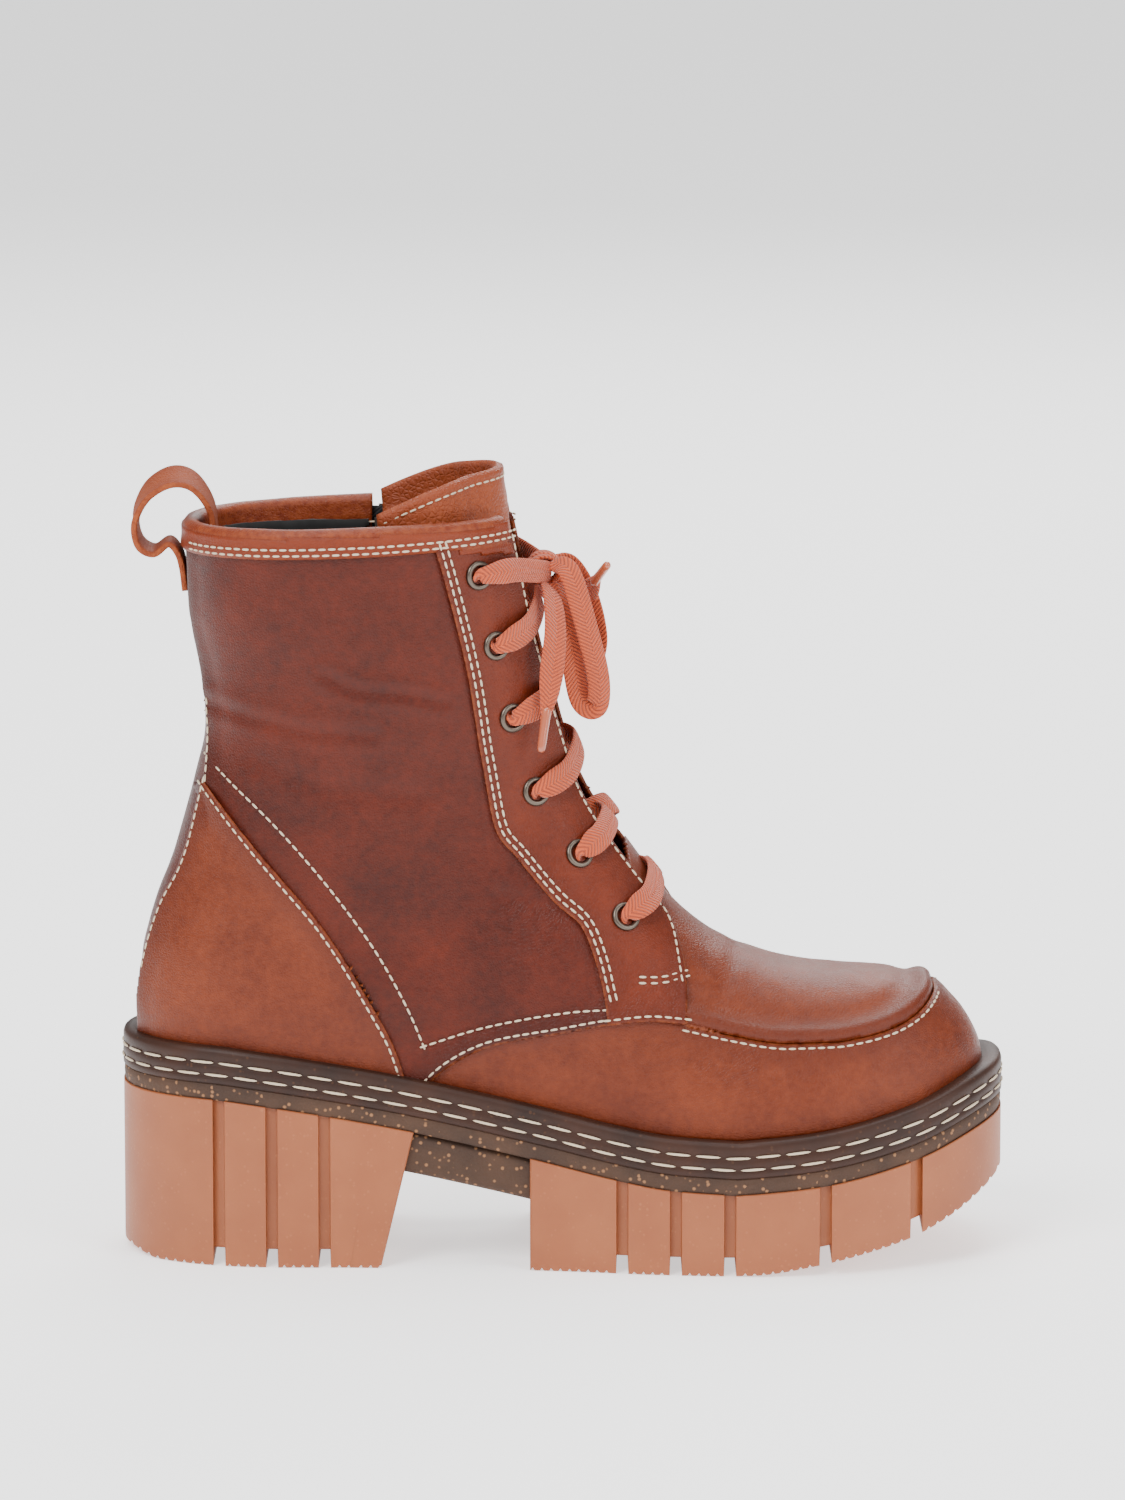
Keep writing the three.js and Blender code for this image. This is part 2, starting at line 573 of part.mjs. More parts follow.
addSolid(
  "backstay",
  "leather",
  panel(leather, [[-150, 20], [-133.2, 20], ...BACKSTAY_EDGE, [-150, 225.5]], "both"),
);
for (const half of ["lateral", "medial"]) {
  addSolid("heel_panel_" + half, "leather", panel(leather, counterOutline, half));
  addSolid("facing_" + half, "leather", panel(leather, facingOutline, half).subtract(holes[half]));
}
addSolid("quarter_lateral", "leather", panel(leather, quarterOutline, "lateral"));
const quarterMedial = panel(leather, quarterOutline, "medial");
const rearOfZip = [...zipStrip(-150, -ZIP.gap, 20, 260)];
const frontOfZip = [...zipStrip(ZIP.gap, 150, 20, 260)];
const cutBy = (solid, outline) => solid.intersect(acrossPrism(outline.map(gradeSide), ...halves.medial));
addSolid("quarter_medial_rear", "leather", cutBy(quarterMedial, rearOfZip));
addSolid("quarter_medial_front", "leather", cutBy(quarterMedial, frontOfZip));
addSolid(
  "vamp_wall",
  "leather",
  panel(leather, [[-45, 20], ...VAMP_EDGE, ...APRON_EDGE.slice(1), [150, 100], [150, 20]], "both"),
);
addSolid("apron", "leather", panel(leather, apronOutline, "both"));
const collarOutline = [...COLLAR_SEAM.slice(0, 6), ...flip(COLLAR_TOP)];
addSolid("collar_lateral", "leather", panel(leather, collarOutline, "lateral"));
const collarMedial = panel(leather, collarOutline, "medial");
addSolid("collar_medial_rear", "leather", cutBy(collarMedial, rearOfZip));
addSolid("collar_medial_front", "leather", cutBy(collarMedial, frontOfZip));

// ---------------------------------------------------------------- stiffeners, padding, lining
addSolid(
  "heel_stiffener",
  "board",
  panel(filling, [[-150, 20], [-150, 140], ...COUNTER_EDGE.slice(1).map(([x, z]) => [x - 4, z]), [-53.6, 20]], "both"),
);
addSolid("toe_puff", "board", panel(filling, [[88, 20], [88, 130], [150, 130], [150, 20]], "both"));
const paddingOutline = insetOutline(
  [[-104, 156], [-108, 184], [-111, 221], [-46, 224], [-34, 187], [-28, 150], [-50, 104]], 0,
);
addSolid("padding_lateral", "fleece", panel(filling, paddingOutline, "lateral"));
addSolid(
  "padding_medial",
  "fleece",
  cutBy(panel(filling, paddingOutline, "medial"), zipStrip(-150, -ZIP.tape - 1, 20, 260)),
);

const LINING_SPLIT = 118;
const insideFront = FACING_FRONT.map(([x, z]) => [x - 6.5, z]);
const footLiningOutline = [
  [-150, 20], [-150, LINING_SPLIT], [17.8, LINING_SPLIT], [24.8, 109], [31, 101], [45, 135], [150, 135], [150, 20],
];
const shaftLiningOutline = [
  [-150, LINING_SPLIT], [-150, 230], ...COLLAR_TOP.slice(1, 5).map(([x, z]) => [x, z - 3]),
  [-25, 232.5], ...flip(insideFront).slice(0, 6), [17.8, LINING_SPLIT],
];
const zipWindow = acrossPrism(zipStrip(-ZIP.lining, ZIP.lining, 79, 260).map(gradeSide), ...halves.medial);
addSolid("lining_foot", "fleece", panel(fleece, footLiningOutline, "both").subtract(zipWindow).subtract(holes.lateral.add(holes.medial)));
addSolid(
  "lining_shaft_lateral",
  "fleece",
  panel(fleece, shaftLiningOutline, "lateral").subtract(holes.lateral),
);
const shaftMedial = panel(fleece, shaftLiningOutline, "medial").subtract(holes.medial);
addSolid("lining_shaft_medial_rear", "fleece", cutBy(shaftMedial, zipStrip(-150, -ZIP.lining, 20, 260)));
addSolid("lining_shaft_medial_front", "fleece", cutBy(shaftMedial, zipStrip(ZIP.lining, 150, 20, 260)));

// ---------------------------------------------------------------- tongue
// The tongue lies inside the facings and widens into two wings. It is set deep where the laces
// pass under the facings, and comes forward above the top eyelets.
const TONGUE_BASE = reachAtZ(114);
const tongueDepth = (z, share) =>
  mix(mix(13.2, 1.6, ease((z - 218) / 12)), mix(13.2, 8.2, ease((z - 224) / 9)), ease(share / 0.26));
function tonguePoint(row, column, extra) {
  const share = Math.abs(column);
  const side = column <= 0 ? SIDES.lateral : SIDES.medial;
  const top = reachAtZ(mix(251, 238, Math.pow(share, 1.8)));
  const reach = mix(TONGUE_BASE, top, row);
  const wing = mix(0.1, 0.44, ease(row * 1.25));
  const t = 1 - wing * Math.pow(share, 0.8);
  const point = surfacePoint(reach, t, side);
  return point.addScaledVector(surfaceNormal(reach, t, side), -tongueDepth(frontZAt(reach), share) - extra);
}
function tongueGrid(extra) {
  const columns = Array.from({ length: 13 }, (_, j) => (j - 6) / 6);
  const rows = Array.from({ length: 12 }, (_, i) => i / 11);
  return rows.map((row) => columns.map((column) => tonguePoint(row, column, extra)));
}
addSolid("tongue", "leather", solidOf(slabGeometry(tongueGrid(0), tongueGrid(TONGUE_THICKNESS), false)));

// ---------------------------------------------------------------- eyelets
const eyeletProfile = (() => {
  const seat = 1;
  const top = seat + EYELET.sheet;
  const bottom = -upperDepth - 1.6;
  return [
    [EYELET.bore, bottom - EYELET.sheet], [EYELET.flange - 0.4, bottom - EYELET.sheet],
    [EYELET.flange - 0.4, bottom], [EYELET.barrel, bottom], [EYELET.barrel, seat], [EYELET.flange, seat],
    [EYELET.flange - 0.5, top], [EYELET.bore, top], [EYELET.bore, bottom - EYELET.sheet],
  ].map(([r, y]) => new THREE.Vector2(r, y));
})();
for (const half of ["lateral", "medial"]) {
  EYELETS.forEach((place, i) => {
    const { point, normal } = onUpper(place, SIDES[half], 0);
    const eyelet = add("eyelet_" + half + "_" + (i + 1), "antique_brass", new THREE.LatheGeometry(eyeletProfile, 8));
    eyelet.position.copy(point);
    eyelet.quaternion.setFromUnitVectors(new THREE.Vector3(0, 1, 0), normal);
  });
}

// ---------------------------------------------------------------- lace
// A path whose stations are its own points, so that a tight turn keeps its shape.
class StationPath extends THREE.CatmullRomCurve3 {
  getPointAt(share, target) {
    return this.getPoint(share, target);
  }

  getTangentAt(share, target) {
    return this.getTangent(share, target);
  }

  getSpacedPoints(count) {
    return this.getPoints(count);
  }
}

function tube(points, radius, stepsPerPoint = 1) {
  const path = new StationPath(points, false, "centripetal");
  const steps = (points.length - 1) * stepsPerPoint;
  const sides = 8;
  const section = new THREE.Shape(
    Array.from({ length: sides }, (_, k) => {
      const angle = (2 * Math.PI * k) / sides;
      return new THREE.Vector2(radius * Math.cos(angle), radius * Math.sin(angle));
    }),
  );
  return new THREE.ExtrudeGeometry(section, { steps, extrudePath: path, bevelEnabled: false });
}

// Where the lace crosses the gap between the facings, `lift` in front of the facings' edges.
function crossingPoint(z, share, lift) {
  const x = frontX(z);
  const slope = new THREE.Vector2(gradeZ(x, z + 4) - gradeZ(x, z - 4), gradeX(frontX(z - 4) - frontX(z + 4)));
  slope.normalize();
  return new THREE.Vector3(gradeX(x) + slope.x * lift, share, gradeZ(x, z) + slope.y * lift);
}

const OVER = 4;
const UNDER = upperDepth + 4.8;
const edgeAt = readOff(fine(FACING_FRONT.slice(2), 60), 1, 0);

// One pass of lace: out through eyelet i of one side, over its facing's edge, across the gap and
// under the other facing to the eyelet above. `upper` passes over the other strand.
function lacePass(from, to, i, upper) {
  const [x0, z0] = EYELETS[i];
  const [x1, z1] = EYELETS[i - 1];
  const leave = mix(z0, z1, 0.28);
  const enter = mix(z0, z1, 0.78);
  const at = (x, z, side, offset) => onUpper([x, z], side, offset).point;
  const edge0 = edgeAt(leave);
  const edge1 = edgeAt(enter);
  const outside = onUpper([x0, z0], from, 0);
  return [
    outside.point.clone().addScaledVector(outside.normal, -upperDepth + 1),
    outside.point.clone().addScaledVector(outside.normal, 3),
    at(mix(x0, edge0, 0.42), mix(z0, leave, 0.4), from, OVER),
    at(mix(x0, edge0, 0.86), mix(z0, leave, 0.85), from, OVER),
    crossingPoint(mix(leave, enter, 0.36), from.sign * 8, upper ? 1.6 : 0.8),
    crossingPoint(mix(leave, enter, 0.56), -from.sign * 1, upper ? 0.2 : -3.4),
    crossingPoint(mix(leave, enter, 0.8), -from.sign * 9.5, -8.6),
    at(mix(x1, edge1, 0.6), mix(enter, z1, 0.4), to, -UNDER + 0.3),
    at(mix(x1, edge1, 0.12), mix(enter, z1, 0.9), to, -UNDER),
  ];
}

// The knot sits in front of the tongue between the top eyelets, with the bow's loops and ends on it.
const KNOT_RADIUS = 5;
const knotAt = new THREE.Vector3(gradeX(-6.5), 0, gradeZ(-12, 217));
const fromKnot = (x, y, z) => new THREE.Vector3(knotAt.x + x, knotAt.y + y, knotAt.z + z);

// The whole strand: from the knot down one side's passes, across under the lowest pair, and up
// the other's to the knot again.
function laceRoute() {
  const climb = (start) => {
    const points = [];
    let from = start;
    for (let i = 5; i > 0; i -= 1) {
      const to = from === SIDES.lateral ? SIDES.medial : SIDES.lateral;
      points.push(...lacePass(from, to, i, start === SIDES.lateral));
      from = to;
    }
    const end = onUpper(EYELETS[0], from, 0);
    points.push(
      end.point.clone().addScaledVector(end.normal, -upperDepth + 1),
      end.point.clone().addScaledVector(end.normal, 3),
      onUpper([EYELETS[0][0] + 5, EYELETS[0][1] + 0.5], from, OVER + 0.2).point,
      onUpper([EYELETS[0][0] + 9.5, EYELETS[0][1]], from, OVER).point,
      fromKnot(-0.5, from.sign * 7, 0),
    );
    return points;
  };
  const [x, z] = EYELETS[5];
  const under = (side, forward, depth) => onUpper([x + forward, z - forward * 0.2], side, -depth).point;
  const bar = [
    under(SIDES.lateral, 0.5, UNDER), under(SIDES.lateral, 5, UNDER), under(SIDES.lateral, 10, UNDER),
    under(SIDES.medial, 10, UNDER), under(SIDES.medial, 5, UNDER), under(SIDES.medial, 0.5, UNDER),
  ];
  return [...flip(climb(SIDES.lateral)), ...bar, ...climb(SIDES.medial)];
}
add("lace", "lace", tube(laceRoute(), LACE_RADIUS));
add("lace_knot", "lace", new THREE.SphereGeometry(KNOT_RADIUS, 10, 8).scale(0.9, 1.1, 1)).position.copy(knotAt);
const BOW = {
  loop_lateral: [
    fromKnot(4.6, -4.4, 2.6), fromKnot(8, -8, 0), fromKnot(13, -10.5, -16), fromKnot(17.5, -10, -33),
    fromKnot(17, -9, -41), fromKnot(12.5, -9, -38), fromKnot(9.5, -9, -24), fromKnot(7, -8, -10),
    fromKnot(5, -5, -4.4),
  ],
  loop_medial: [
    fromKnot(4.6, 4.4, 2.6), fromKnot(9, 9, 0.5), fromKnot(14, 13.5, -10), fromKnot(17, 15, -24),
    fromKnot(14.5, 14.5, -31), fromKnot(10.5, 13, -24), fromKnot(7.5, 10.5, -10), fromKnot(5, 5, -4.4),
  ],
  end_lateral: [
    fromKnot(1.4, -5.6, -5), fromKnot(5.5, -14, -10), fromKnot(3.5, -24.5, -20), fromKnot(-0.5, -30, -36),
  ],
  end_medial: [fromKnot(5.6, 1.6, 0.6), fromKnot(10, 4, 0), fromKnot(14.5, 5, -2.5), fromKnot(19.5, 5.5, -4.5)],
};
for (const [name, points] of Object.entries(BOW)) {
  add("lace_" + name, "lace", tube(points, LACE_RADIUS, 2));
}
for (const half of ["lateral", "medial"]) {
  const points = BOW["end_" + half];
  const tip = points[points.length - 1];
  const direction = tip.clone().sub(points[points.length - 2]).normalize();
  const aglet = add("aglet_" + half, "aglet", new THREE.CylinderGeometry(AGLET.radius, AGLET.radius, AGLET.length, 8));
  aglet.position.copy(tip).addScaledVector(direction, AGLET.length / 2 + LAYER_GAP);
  aglet.quaternion.setFromUnitVectors(new THREE.Vector3(0, 1, 0), direction);
}

// ---------------------------------------------------------------- inside zip
// The zip's own frame: +Y down the chain from its top end, +Z out of the boot, +X to one side.
const zipTop = onUpper(ZIP_TOP, SIDES.medial, 0);
const zipBottom = onUpper(ZIP_BOTTOM, SIDES.medial, 0);
const chainDown = zipBottom.point.clone().sub(zipTop.point).normalize();
const chainOut = zipTop.normal.clone().add(zipBottom.normal);
chainOut.addScaledVector(chainDown, -chainOut.dot(chainDown)).normalize();
const chainSide = chainDown.clone().cross(chainOut);
const chainLength = zipTop.point.distanceTo(zipBottom.point);
const zipGroup = new THREE.Group();
zipGroup.name = "zip";
zipGroup.matrixAutoUpdate = false;
zipGroup.matrix.makeBasis(chainSide, chainDown, chainOut).setPosition(zipTop.point);
boot.add(zipGroup);

function addZip(name, finish, geometry) {
  const mesh = add(name, finish, geometry);
  zipGroup.add(mesh);
  return mesh;
}
const zipBox = (low, high) => geometryOf(boxSolid(low, high));
const ROW = { low: -1.3, high: 0.3 };
const SLIDER_TOP = 5;
const chainStart = SLIDER_TOP + SLIDER.length * 0.3;
const stopLength = 3;
for (const [name, sign] of [["front", -1], ["rear", 1]]) {
  const inner = ZIP.rowGap * sign;
  const outer = (ZIP.rowGap + ZIP.row - 0.5) * sign;
  addZip(
    "zip_teeth_" + name,
    "zip_tape",
    zipBox(
      [Math.min(inner, outer), chainStart, ROW.low],
      [Math.max(inner, outer), chainLength - stopLength - LAYER_GAP, ROW.high],
    ),
  );
  addZip(
    "zip_top_stop_" + name,
    "steel",
    zipBox(
      [Math.min(inner, outer), SLIDER_TOP - stopLength - 1, ROW.low],
      [Math.max(inner, outer), SLIDER_TOP - 1, ROW.high],
    ),
  );
}
addZip(
  "zip_bottom_stop",
  "steel",
  zipBox([-ZIP.row, chainLength - stopLength, ROW.low], [ZIP.row, chainLength, ROW.high]),
);
const pivot = { y: SLIDER_TOP + SLIDER.length * 0.45, z: ROW.high + 0.4 + SLIDER.plate + 1.9 };
function sliderSolid() {
  const half = SLIDER.width / 2;
  const ends = [SLIDER_TOP, SLIDER_TOP + SLIDER.length];
  const plateLow = ROW.high + 0.4;
  const under = -LEATHER - STIFFENER - LAYER_GAP - 0.9;
  const top = boxSolid([-half, ends[0], plateLow], [half, ends[1], plateLow + SLIDER.plate]);
  const bottom = boxSolid([-half, ends[0], under - SLIDER.plate], [half, ends[1], under]);
  const web = boxSolid(
    [-SLIDER.web / 2, ends[0], under - 0.2],
    [SLIDER.web / 2, ends[0] + SLIDER.length * 0.6, plateLow + 0.2],
  );
  const lug = (x) =>
    boxSolid([x - 0.5, pivot.y - 1.2, plateLow + 0.5], [x + 0.5, pivot.y + 1.2, pivot.z + 1]);
  const pin = solidOf(new THREE.CylinderGeometry(PULL.pin, PULL.pin, 5, 10).rotateZ(Math.PI / 2));
  return top.add(bottom).add(web).add(lug(-2.1)).add(lug(2.1)).add(pin.translate([0, pivot.y, pivot.z]));
}
addZip("zip_slider", "steel", geometryOf(sliderSolid()));
function pullSolid() {
  const eye = solidOf(new THREE.CylinderGeometry(PULL.eye, PULL.eye, 2.6, 12).rotateZ(Math.PI / 2));
  const bore = solidOf(new THREE.CylinderGeometry(PULL.bore, PULL.bore, 9, 12).rotateZ(Math.PI / 2));
  const half = PULL.thickness / 2;
  const neck = boxSolid([-1.3, 0.4, -half], [1.3, 4.5, half]);
  const outline = new THREE.Shape();
  outline.absarc(0, PULL.length - PULL.width / 2, PULL.width / 2, 0, Math.PI, false);
  outline.lineTo(-PULL.width / 2, 5.5);
  outline.lineTo(-1.3, 3.6);
  outline.lineTo(1.3, 3.6);
  outline.lineTo(PULL.width / 2, 5.5);
  const tab = solidOf(
    new THREE.ExtrudeGeometry(outline, { depth: PULL.thickness, bevelEnabled: false, curveSegments: 8 }),
  );
  return eye.add(neck).add(tab.translate([0, 0, -half])).subtract(bore);
}
addZip("zip_pull", "steel", geometryOf(pullSolid())).position.set(0, pivot.y, pivot.z);

// The two tapes lie between leather and lining, along the chain.
const tapeZ = [ZIP_BOTTOM[1] - 2, ZIP_TOP[1] - 0.5];
addSolid("zip_tape_front", "zip_tape", cutBy(filling, zipStrip(ZIP.tapeGap, ZIP.tape, ...tapeZ)));
addSolid("zip_tape_rear", "zip_tape", cutBy(filling, zipStrip(-ZIP.tape, -ZIP.tapeGap, ...tapeZ)));

// ---------------------------------------------------------------- heel pull loop
const loopPath = (() => {
  const inner = backX(228) + upperDepth + LAYER_GAP + LOOP.thickness / 2 + 1.8;
  const outer = (z) => backX(z) - LAYER_GAP - LOOP.thickness / 2 - 0.3;
  return new THREE.CatmullRomCurve3(
    [
      [inner, 221], [inner, 229], [inner - 1, 238], [-117, 245.5], [-124, 246], [-131, 241.5],
      [-135, 233.5], [-133.6, 226.2], [-128.8, 224], [-124.4, 226.6], [outer(224) - 0.8, 224.6],
      [outer(219), 219], [outer(212), 212],
    ].map(([x, z]) => new THREE.Vector3(gradeX(x), 0, gradeZ(-119, z))),
  );
})();
add(
  "pull_loop",
  "leather",
  (() => {
    const steps = 34;
    const side = (sign) =>
      Array.from({ length: steps + 1 }, (_, k) => {
        const point = loopPath.getPointAt(k / steps);
        const tangent = loopPath.getTangentAt(k / steps);
        const reach = (sign * LOOP.thickness) / 2;
        return [point.x - tangent.z * reach, point.z + tangent.x * reach];
      });
    const outline = [...side(1), ...side(-1).reverse()];
    return geometryOf(acrossPrism(outline, -LOOP.width / 2, LOOP.width / 2));
  })(),
);

// ---------------------------------------------------------------- the origin goes under the middle of the boot
const extent = new THREE.Box3().setFromPoints(soleOutline.map(([x, y]) => new THREE.Vector3(x, y, 0)));
boot.position.set(-(extent.min.x + extent.max.x) / 2, -(extent.min.y + extent.max.y) / 2, 0);

export default boot;
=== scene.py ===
"""Lace-up ankle boot with a fleece lining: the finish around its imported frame.

Lengths inside the shape functions are in millimetres, in the pattern's own side-view frame: x along the boot
towards the toe, y towards the inner side of the foot, z up. put() moves them to the part's place, in metres.
"""

import bpy
import numpy as np
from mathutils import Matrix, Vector


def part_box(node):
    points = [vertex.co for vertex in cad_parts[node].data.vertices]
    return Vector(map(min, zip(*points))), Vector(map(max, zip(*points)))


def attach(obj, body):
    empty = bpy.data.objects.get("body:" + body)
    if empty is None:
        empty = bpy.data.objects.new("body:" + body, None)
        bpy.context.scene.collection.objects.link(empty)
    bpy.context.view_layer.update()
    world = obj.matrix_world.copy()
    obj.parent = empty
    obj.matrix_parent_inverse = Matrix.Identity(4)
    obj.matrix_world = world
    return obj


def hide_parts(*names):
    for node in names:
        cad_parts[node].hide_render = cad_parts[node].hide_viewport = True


bl_info = {
    "name": "Ankle Boot",
    "version": (1, 0, 0),
    "blender": (4, 5, 0),
    "location": "3D View > Sidebar > Boot",
    "description": "Builds a stitched leather ankle boot with a lugged sole, an inside zip and a flat lace",
    "category": "Add Mesh",
}

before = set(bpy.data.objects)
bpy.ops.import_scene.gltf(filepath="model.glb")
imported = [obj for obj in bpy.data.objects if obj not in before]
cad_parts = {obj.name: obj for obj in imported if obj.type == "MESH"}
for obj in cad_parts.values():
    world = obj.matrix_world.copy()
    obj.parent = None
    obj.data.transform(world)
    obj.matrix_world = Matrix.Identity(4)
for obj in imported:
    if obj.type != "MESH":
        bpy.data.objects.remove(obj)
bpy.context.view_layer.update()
LATERAL, MEDIAL = -1, 1


# ---------------------------------------------------------------- curves and numbers


def ease(share):
    """Smooth step: 0 below 0, 1 above 1, 3s^2 - 2s^3 between."""
    s = np.clip(share, 0, 1)
    return s * s * (3 - 2 * s)


def mix(a, b, share):
    return a + (b - a) * share


def round_off(share, power):
    """Superellipse quarter: (1 - s^p)^(1/p)."""
    s = np.clip(share, 0, 1)
    return np.maximum(0, 1 - s**power) ** (1 / power)


def bump(distance, width):
    """Bell curve exp(-(d/w)^2)."""
    return np.exp(-((distance / width) ** 2))


def curve(points):
    """Cubic through (x, y) points with harmonic-mean slopes, so it never overshoots; held outside."""
    p = np.array(points, float)
    x, y = p[:, 0], p[:, 1]
    h = np.diff(x)
    rise = np.diff(y) / h
    slope = np.empty(len(x))
    slope[0], slope[-1] = rise[0], rise[-1]
    same = rise[:-1] * rise[1:] > 0
    both = np.where(same, rise[:-1] + rise[1:], 1)
    slope[1:-1] = np.where(same, 2 * rise[:-1] * rise[1:] / both, 0)

    def at(value):
        v = np.clip(value, x[0], x[-1])
        i = np.clip(np.searchsorted(x, v, "right") - 1, 0, len(h) - 1)
        u = (v - x[i]) / h[i]
        bend = u * u * (3 - 2 * u)
        lean = slope[i] * u * (1 - u) ** 2 - slope[i + 1] * u * u * (1 - u)
        return mix(y[i], y[i + 1], bend) + h[i] * lean

    return at


def fine(points, count):
    """The points as count + 1 closely spaced ones on one smooth curve, each coordinate by curve()."""
    p = np.array(points, float)
    k = np.arange(len(p))
    u = np.linspace(0, len(p) - 1, count + 1)
    return np.stack([curve(np.stack([k, p[:, a]], 1))(u) for a in range(p.shape[1])], 1)


def spline(points, count, closed=False):
    """Catmull-Rom curve through 3-D points, resampled at equal steps of its length."""
    p = np.array(points, float)
    q = np.vstack([p[-1], p, p[0], p[1]]) if closed else np.vstack([2 * p[0] - p[1], p, 2 * p[-1] - p[-2]])
    spans = len(q) - 3
    u = np.linspace(0, spans, spans * 24 + 1)
    i = np.minimum(u.astype(int), spans - 1)
    s = (u - i)[:, None]
    a, b, c, d = q[i], q[i + 1], q[i + 2], q[i + 3]
    dense = 0.5 * (2 * b + (c - a) * s + (2 * a - 5 * b + 4 * c - d) * s**2 + (3 * b - a - 3 * c + d) * s**3)
    return even(dense, count)


def lengths(line):
    """Running length along a polyline, by its first three coordinates."""
    return np.concatenate([[0], np.cumsum(np.linalg.norm(np.diff(line[:, :3], axis=0), axis=1))])


def even(line, count):
    """A polyline resampled at count + 1 equal steps of length."""
    run = lengths(line)
    at = np.linspace(0, run[-1], count + 1)
    return np.stack([np.interp(at, run, line[:, a]) for a in range(line.shape[1])], 1)


def read_off(samples, source, target):
    """Looks up coordinate target of a polyline where its coordinate source has a given value."""
    order = samples if samples[0, source] < samples[-1, source] else samples[::-1]
    return lambda value: np.interp(value, order[:, source], order[:, target])


def unit(vectors):
    return vectors / np.maximum(np.linalg.norm(vectors, axis=-1, keepdims=True), 1e-9)


LATTICE_PRIMES = np.array([73856093, 19349663, 83492791])


def hash_noise(points, scale, seed):
    """Smooth value noise at points: random corner values of a cubic lattice, eased between corners."""
    q = points / scale
    cell = np.floor(q).astype(np.int64)
    f = ease(q - cell)
    total = 0
    for corner in range(8):
        o = np.array([corner & 1, corner >> 1 & 1, corner >> 2 & 1])
        n = (cell + o) @ LATTICE_PRIMES + seed * 374761393
        n = (n ^ (n >> 13)) * 1274126177
        value = ((n ^ (n >> 16)) & 0xFFFF) / 65535.0
        total = total + value * np.prod(np.where(o, f, 1 - f), axis=-1)
    return total * 2 - 1


# ---------------------------------------------------------------- the boot's lines

SOLE = {"back": 54.0, "ball": 26.0, "spring": 20.0, "midsole": 6.5, "welt": 9.5, "margin": 6.0}
heel_share = curve([
    (-141, 1), (-112, 0.98), (-94, 0.915), (-75, 0.81), (-47, 0.63), (-10, 0.35), (15, 0.15), (34, 0.04), (54, 0),
])
toe_share = curve([(54, 0), (80, 0.13), (110, 0.46), (133, 0.88), (141, 1)])


def sole_top(x):
    """Top of the rubber blocks: the ball's height plus the heel's rise behind it or the toe spring before it."""
    rise = np.where(x < 54, (SOLE["back"] - SOLE["ball"]) * heel_share(x), SOLE["spring"] * toe_share(x))
    return SOLE["ball"] + rise


def welt_top(x):
    return sole_top(x) + SOLE["midsole"] + SOLE["welt"]


HEEL_X, TOE_X, TOP_Z = -134.5, 133.0, 262.0
BACK = fine([
    (HEEL_X, float(welt_top(HEEL_X))), (-135.6, 80), (-134.3, 95), (-130.2, 111), (-124, 127), (-117.6, 150),
    (-113.8, 169), (-114.4, 184), (-117.6, 207), (-118.8, 225), (-119, 240), (-119, TOP_Z),
], 320)
FRONT = fine([
    (TOE_X, float(welt_top(TOE_X))), (132.4, 64), (129.5, 71), (124, 78.5), (117, 84), (108, 87.3), (97, 88.4),
    (86, 89), (74, 90.4), (60, 94), (45, 101), (34, 110.2), (24, 123.5), (14, 137.5), (6, 150), (-1.8, 174),
    (-7.6, 195), (-11.7, 213), (-15.2, 230), (-18.2, 250), (-20, TOP_Z),
], 640)
back_x = read_off(BACK, 1, 0)
front_x = read_off(FRONT, 1, 0)
ridge_z = read_off(FRONT, 0, 1)
FRONT_RUN = lengths(FRONT)
FRONT_TOTAL = FRONT_RUN[-1]


def front_at(reach, coordinate):
    return np.interp(reach, FRONT_RUN, FRONT[:, coordinate])


def reach_at(z):
    """Length along the front profile at which it has height z."""
    return np.interp(z, FRONT[:, 1], FRONT_RUN)


back_height = curve([
    (0, float(welt_top(HEEL_X))), (35, 80), (80, 94), (127, 116), (reach_at(150), 150), (reach_at(235), 235),
    (FRONT_TOTAL, TOP_Z),
])
CLOSING_X, CALF_BACK = 60.0, 52.0
SIDES = {
    LATERAL: (
        curve([(-90, 33.5), (-60, 34), (-30, 35.5), (0, 38.8), (30, 44), (60, 46.8)]),
        curve([(60, 33.5), (85, 34.5), (110, 34), (150, 34.5), (180, 37), (210, 39.5), (235, 41), (TOP_Z, 42)]),
        2.15,
    ),
    MEDIAL: (
        curve([(-90, 33), (-60, 33), (-30, 33.8), (0, 37.5), (30, 43.5), (60, 46.5)]),
        curve([(60, 33), (90, 33.6), (235, 40.5), (TOP_Z, 41.6)]),
        2.7,
    ),
}


def half_width(x, z, side):
    """Half width at a side-view point. Over the foot: plan outline times a superellipse from welt to ridge;
    round the shaft: a superellipse oval at each height; the two are eased into each other along the instep."""
    plan_of, shaft_of, power = SIDES[side]
    floor = welt_top(x)
    ridge = np.where(x < -20, TOP_Z - (x + 20) * 20, ridge_z(x))
    plan = plan_of(x) * round_off((x - CLOSING_X) / (TOE_X - CLOSING_X), power)
    over_foot = plan * round_off((z - floor) / np.maximum(0.01, ridge - floor), 2.3)
    middle = back_x(z) + CALF_BACK
    behind = x < middle
    along = np.where(behind, (middle - x) / CALF_BACK, (x - middle) / (front_x(z) - middle))
    oval = np.where(behind, round_off(along, 2.3), round_off(along, 2.5))
    forward = (x + 30) * 0.75 - (z - 100) * 0.65
    return mix(over_foot, shaft_of(z) * oval, ease((25 - forward) / 45))


def side_point(xz, side):
    """3-D point on the upper at side-view points xz."""
    xz = np.asarray(xz, float)
    x, z = xz[..., 0], xz[..., 1]
    return np.stack([x, side * half_width(x, z, side), z], -1)


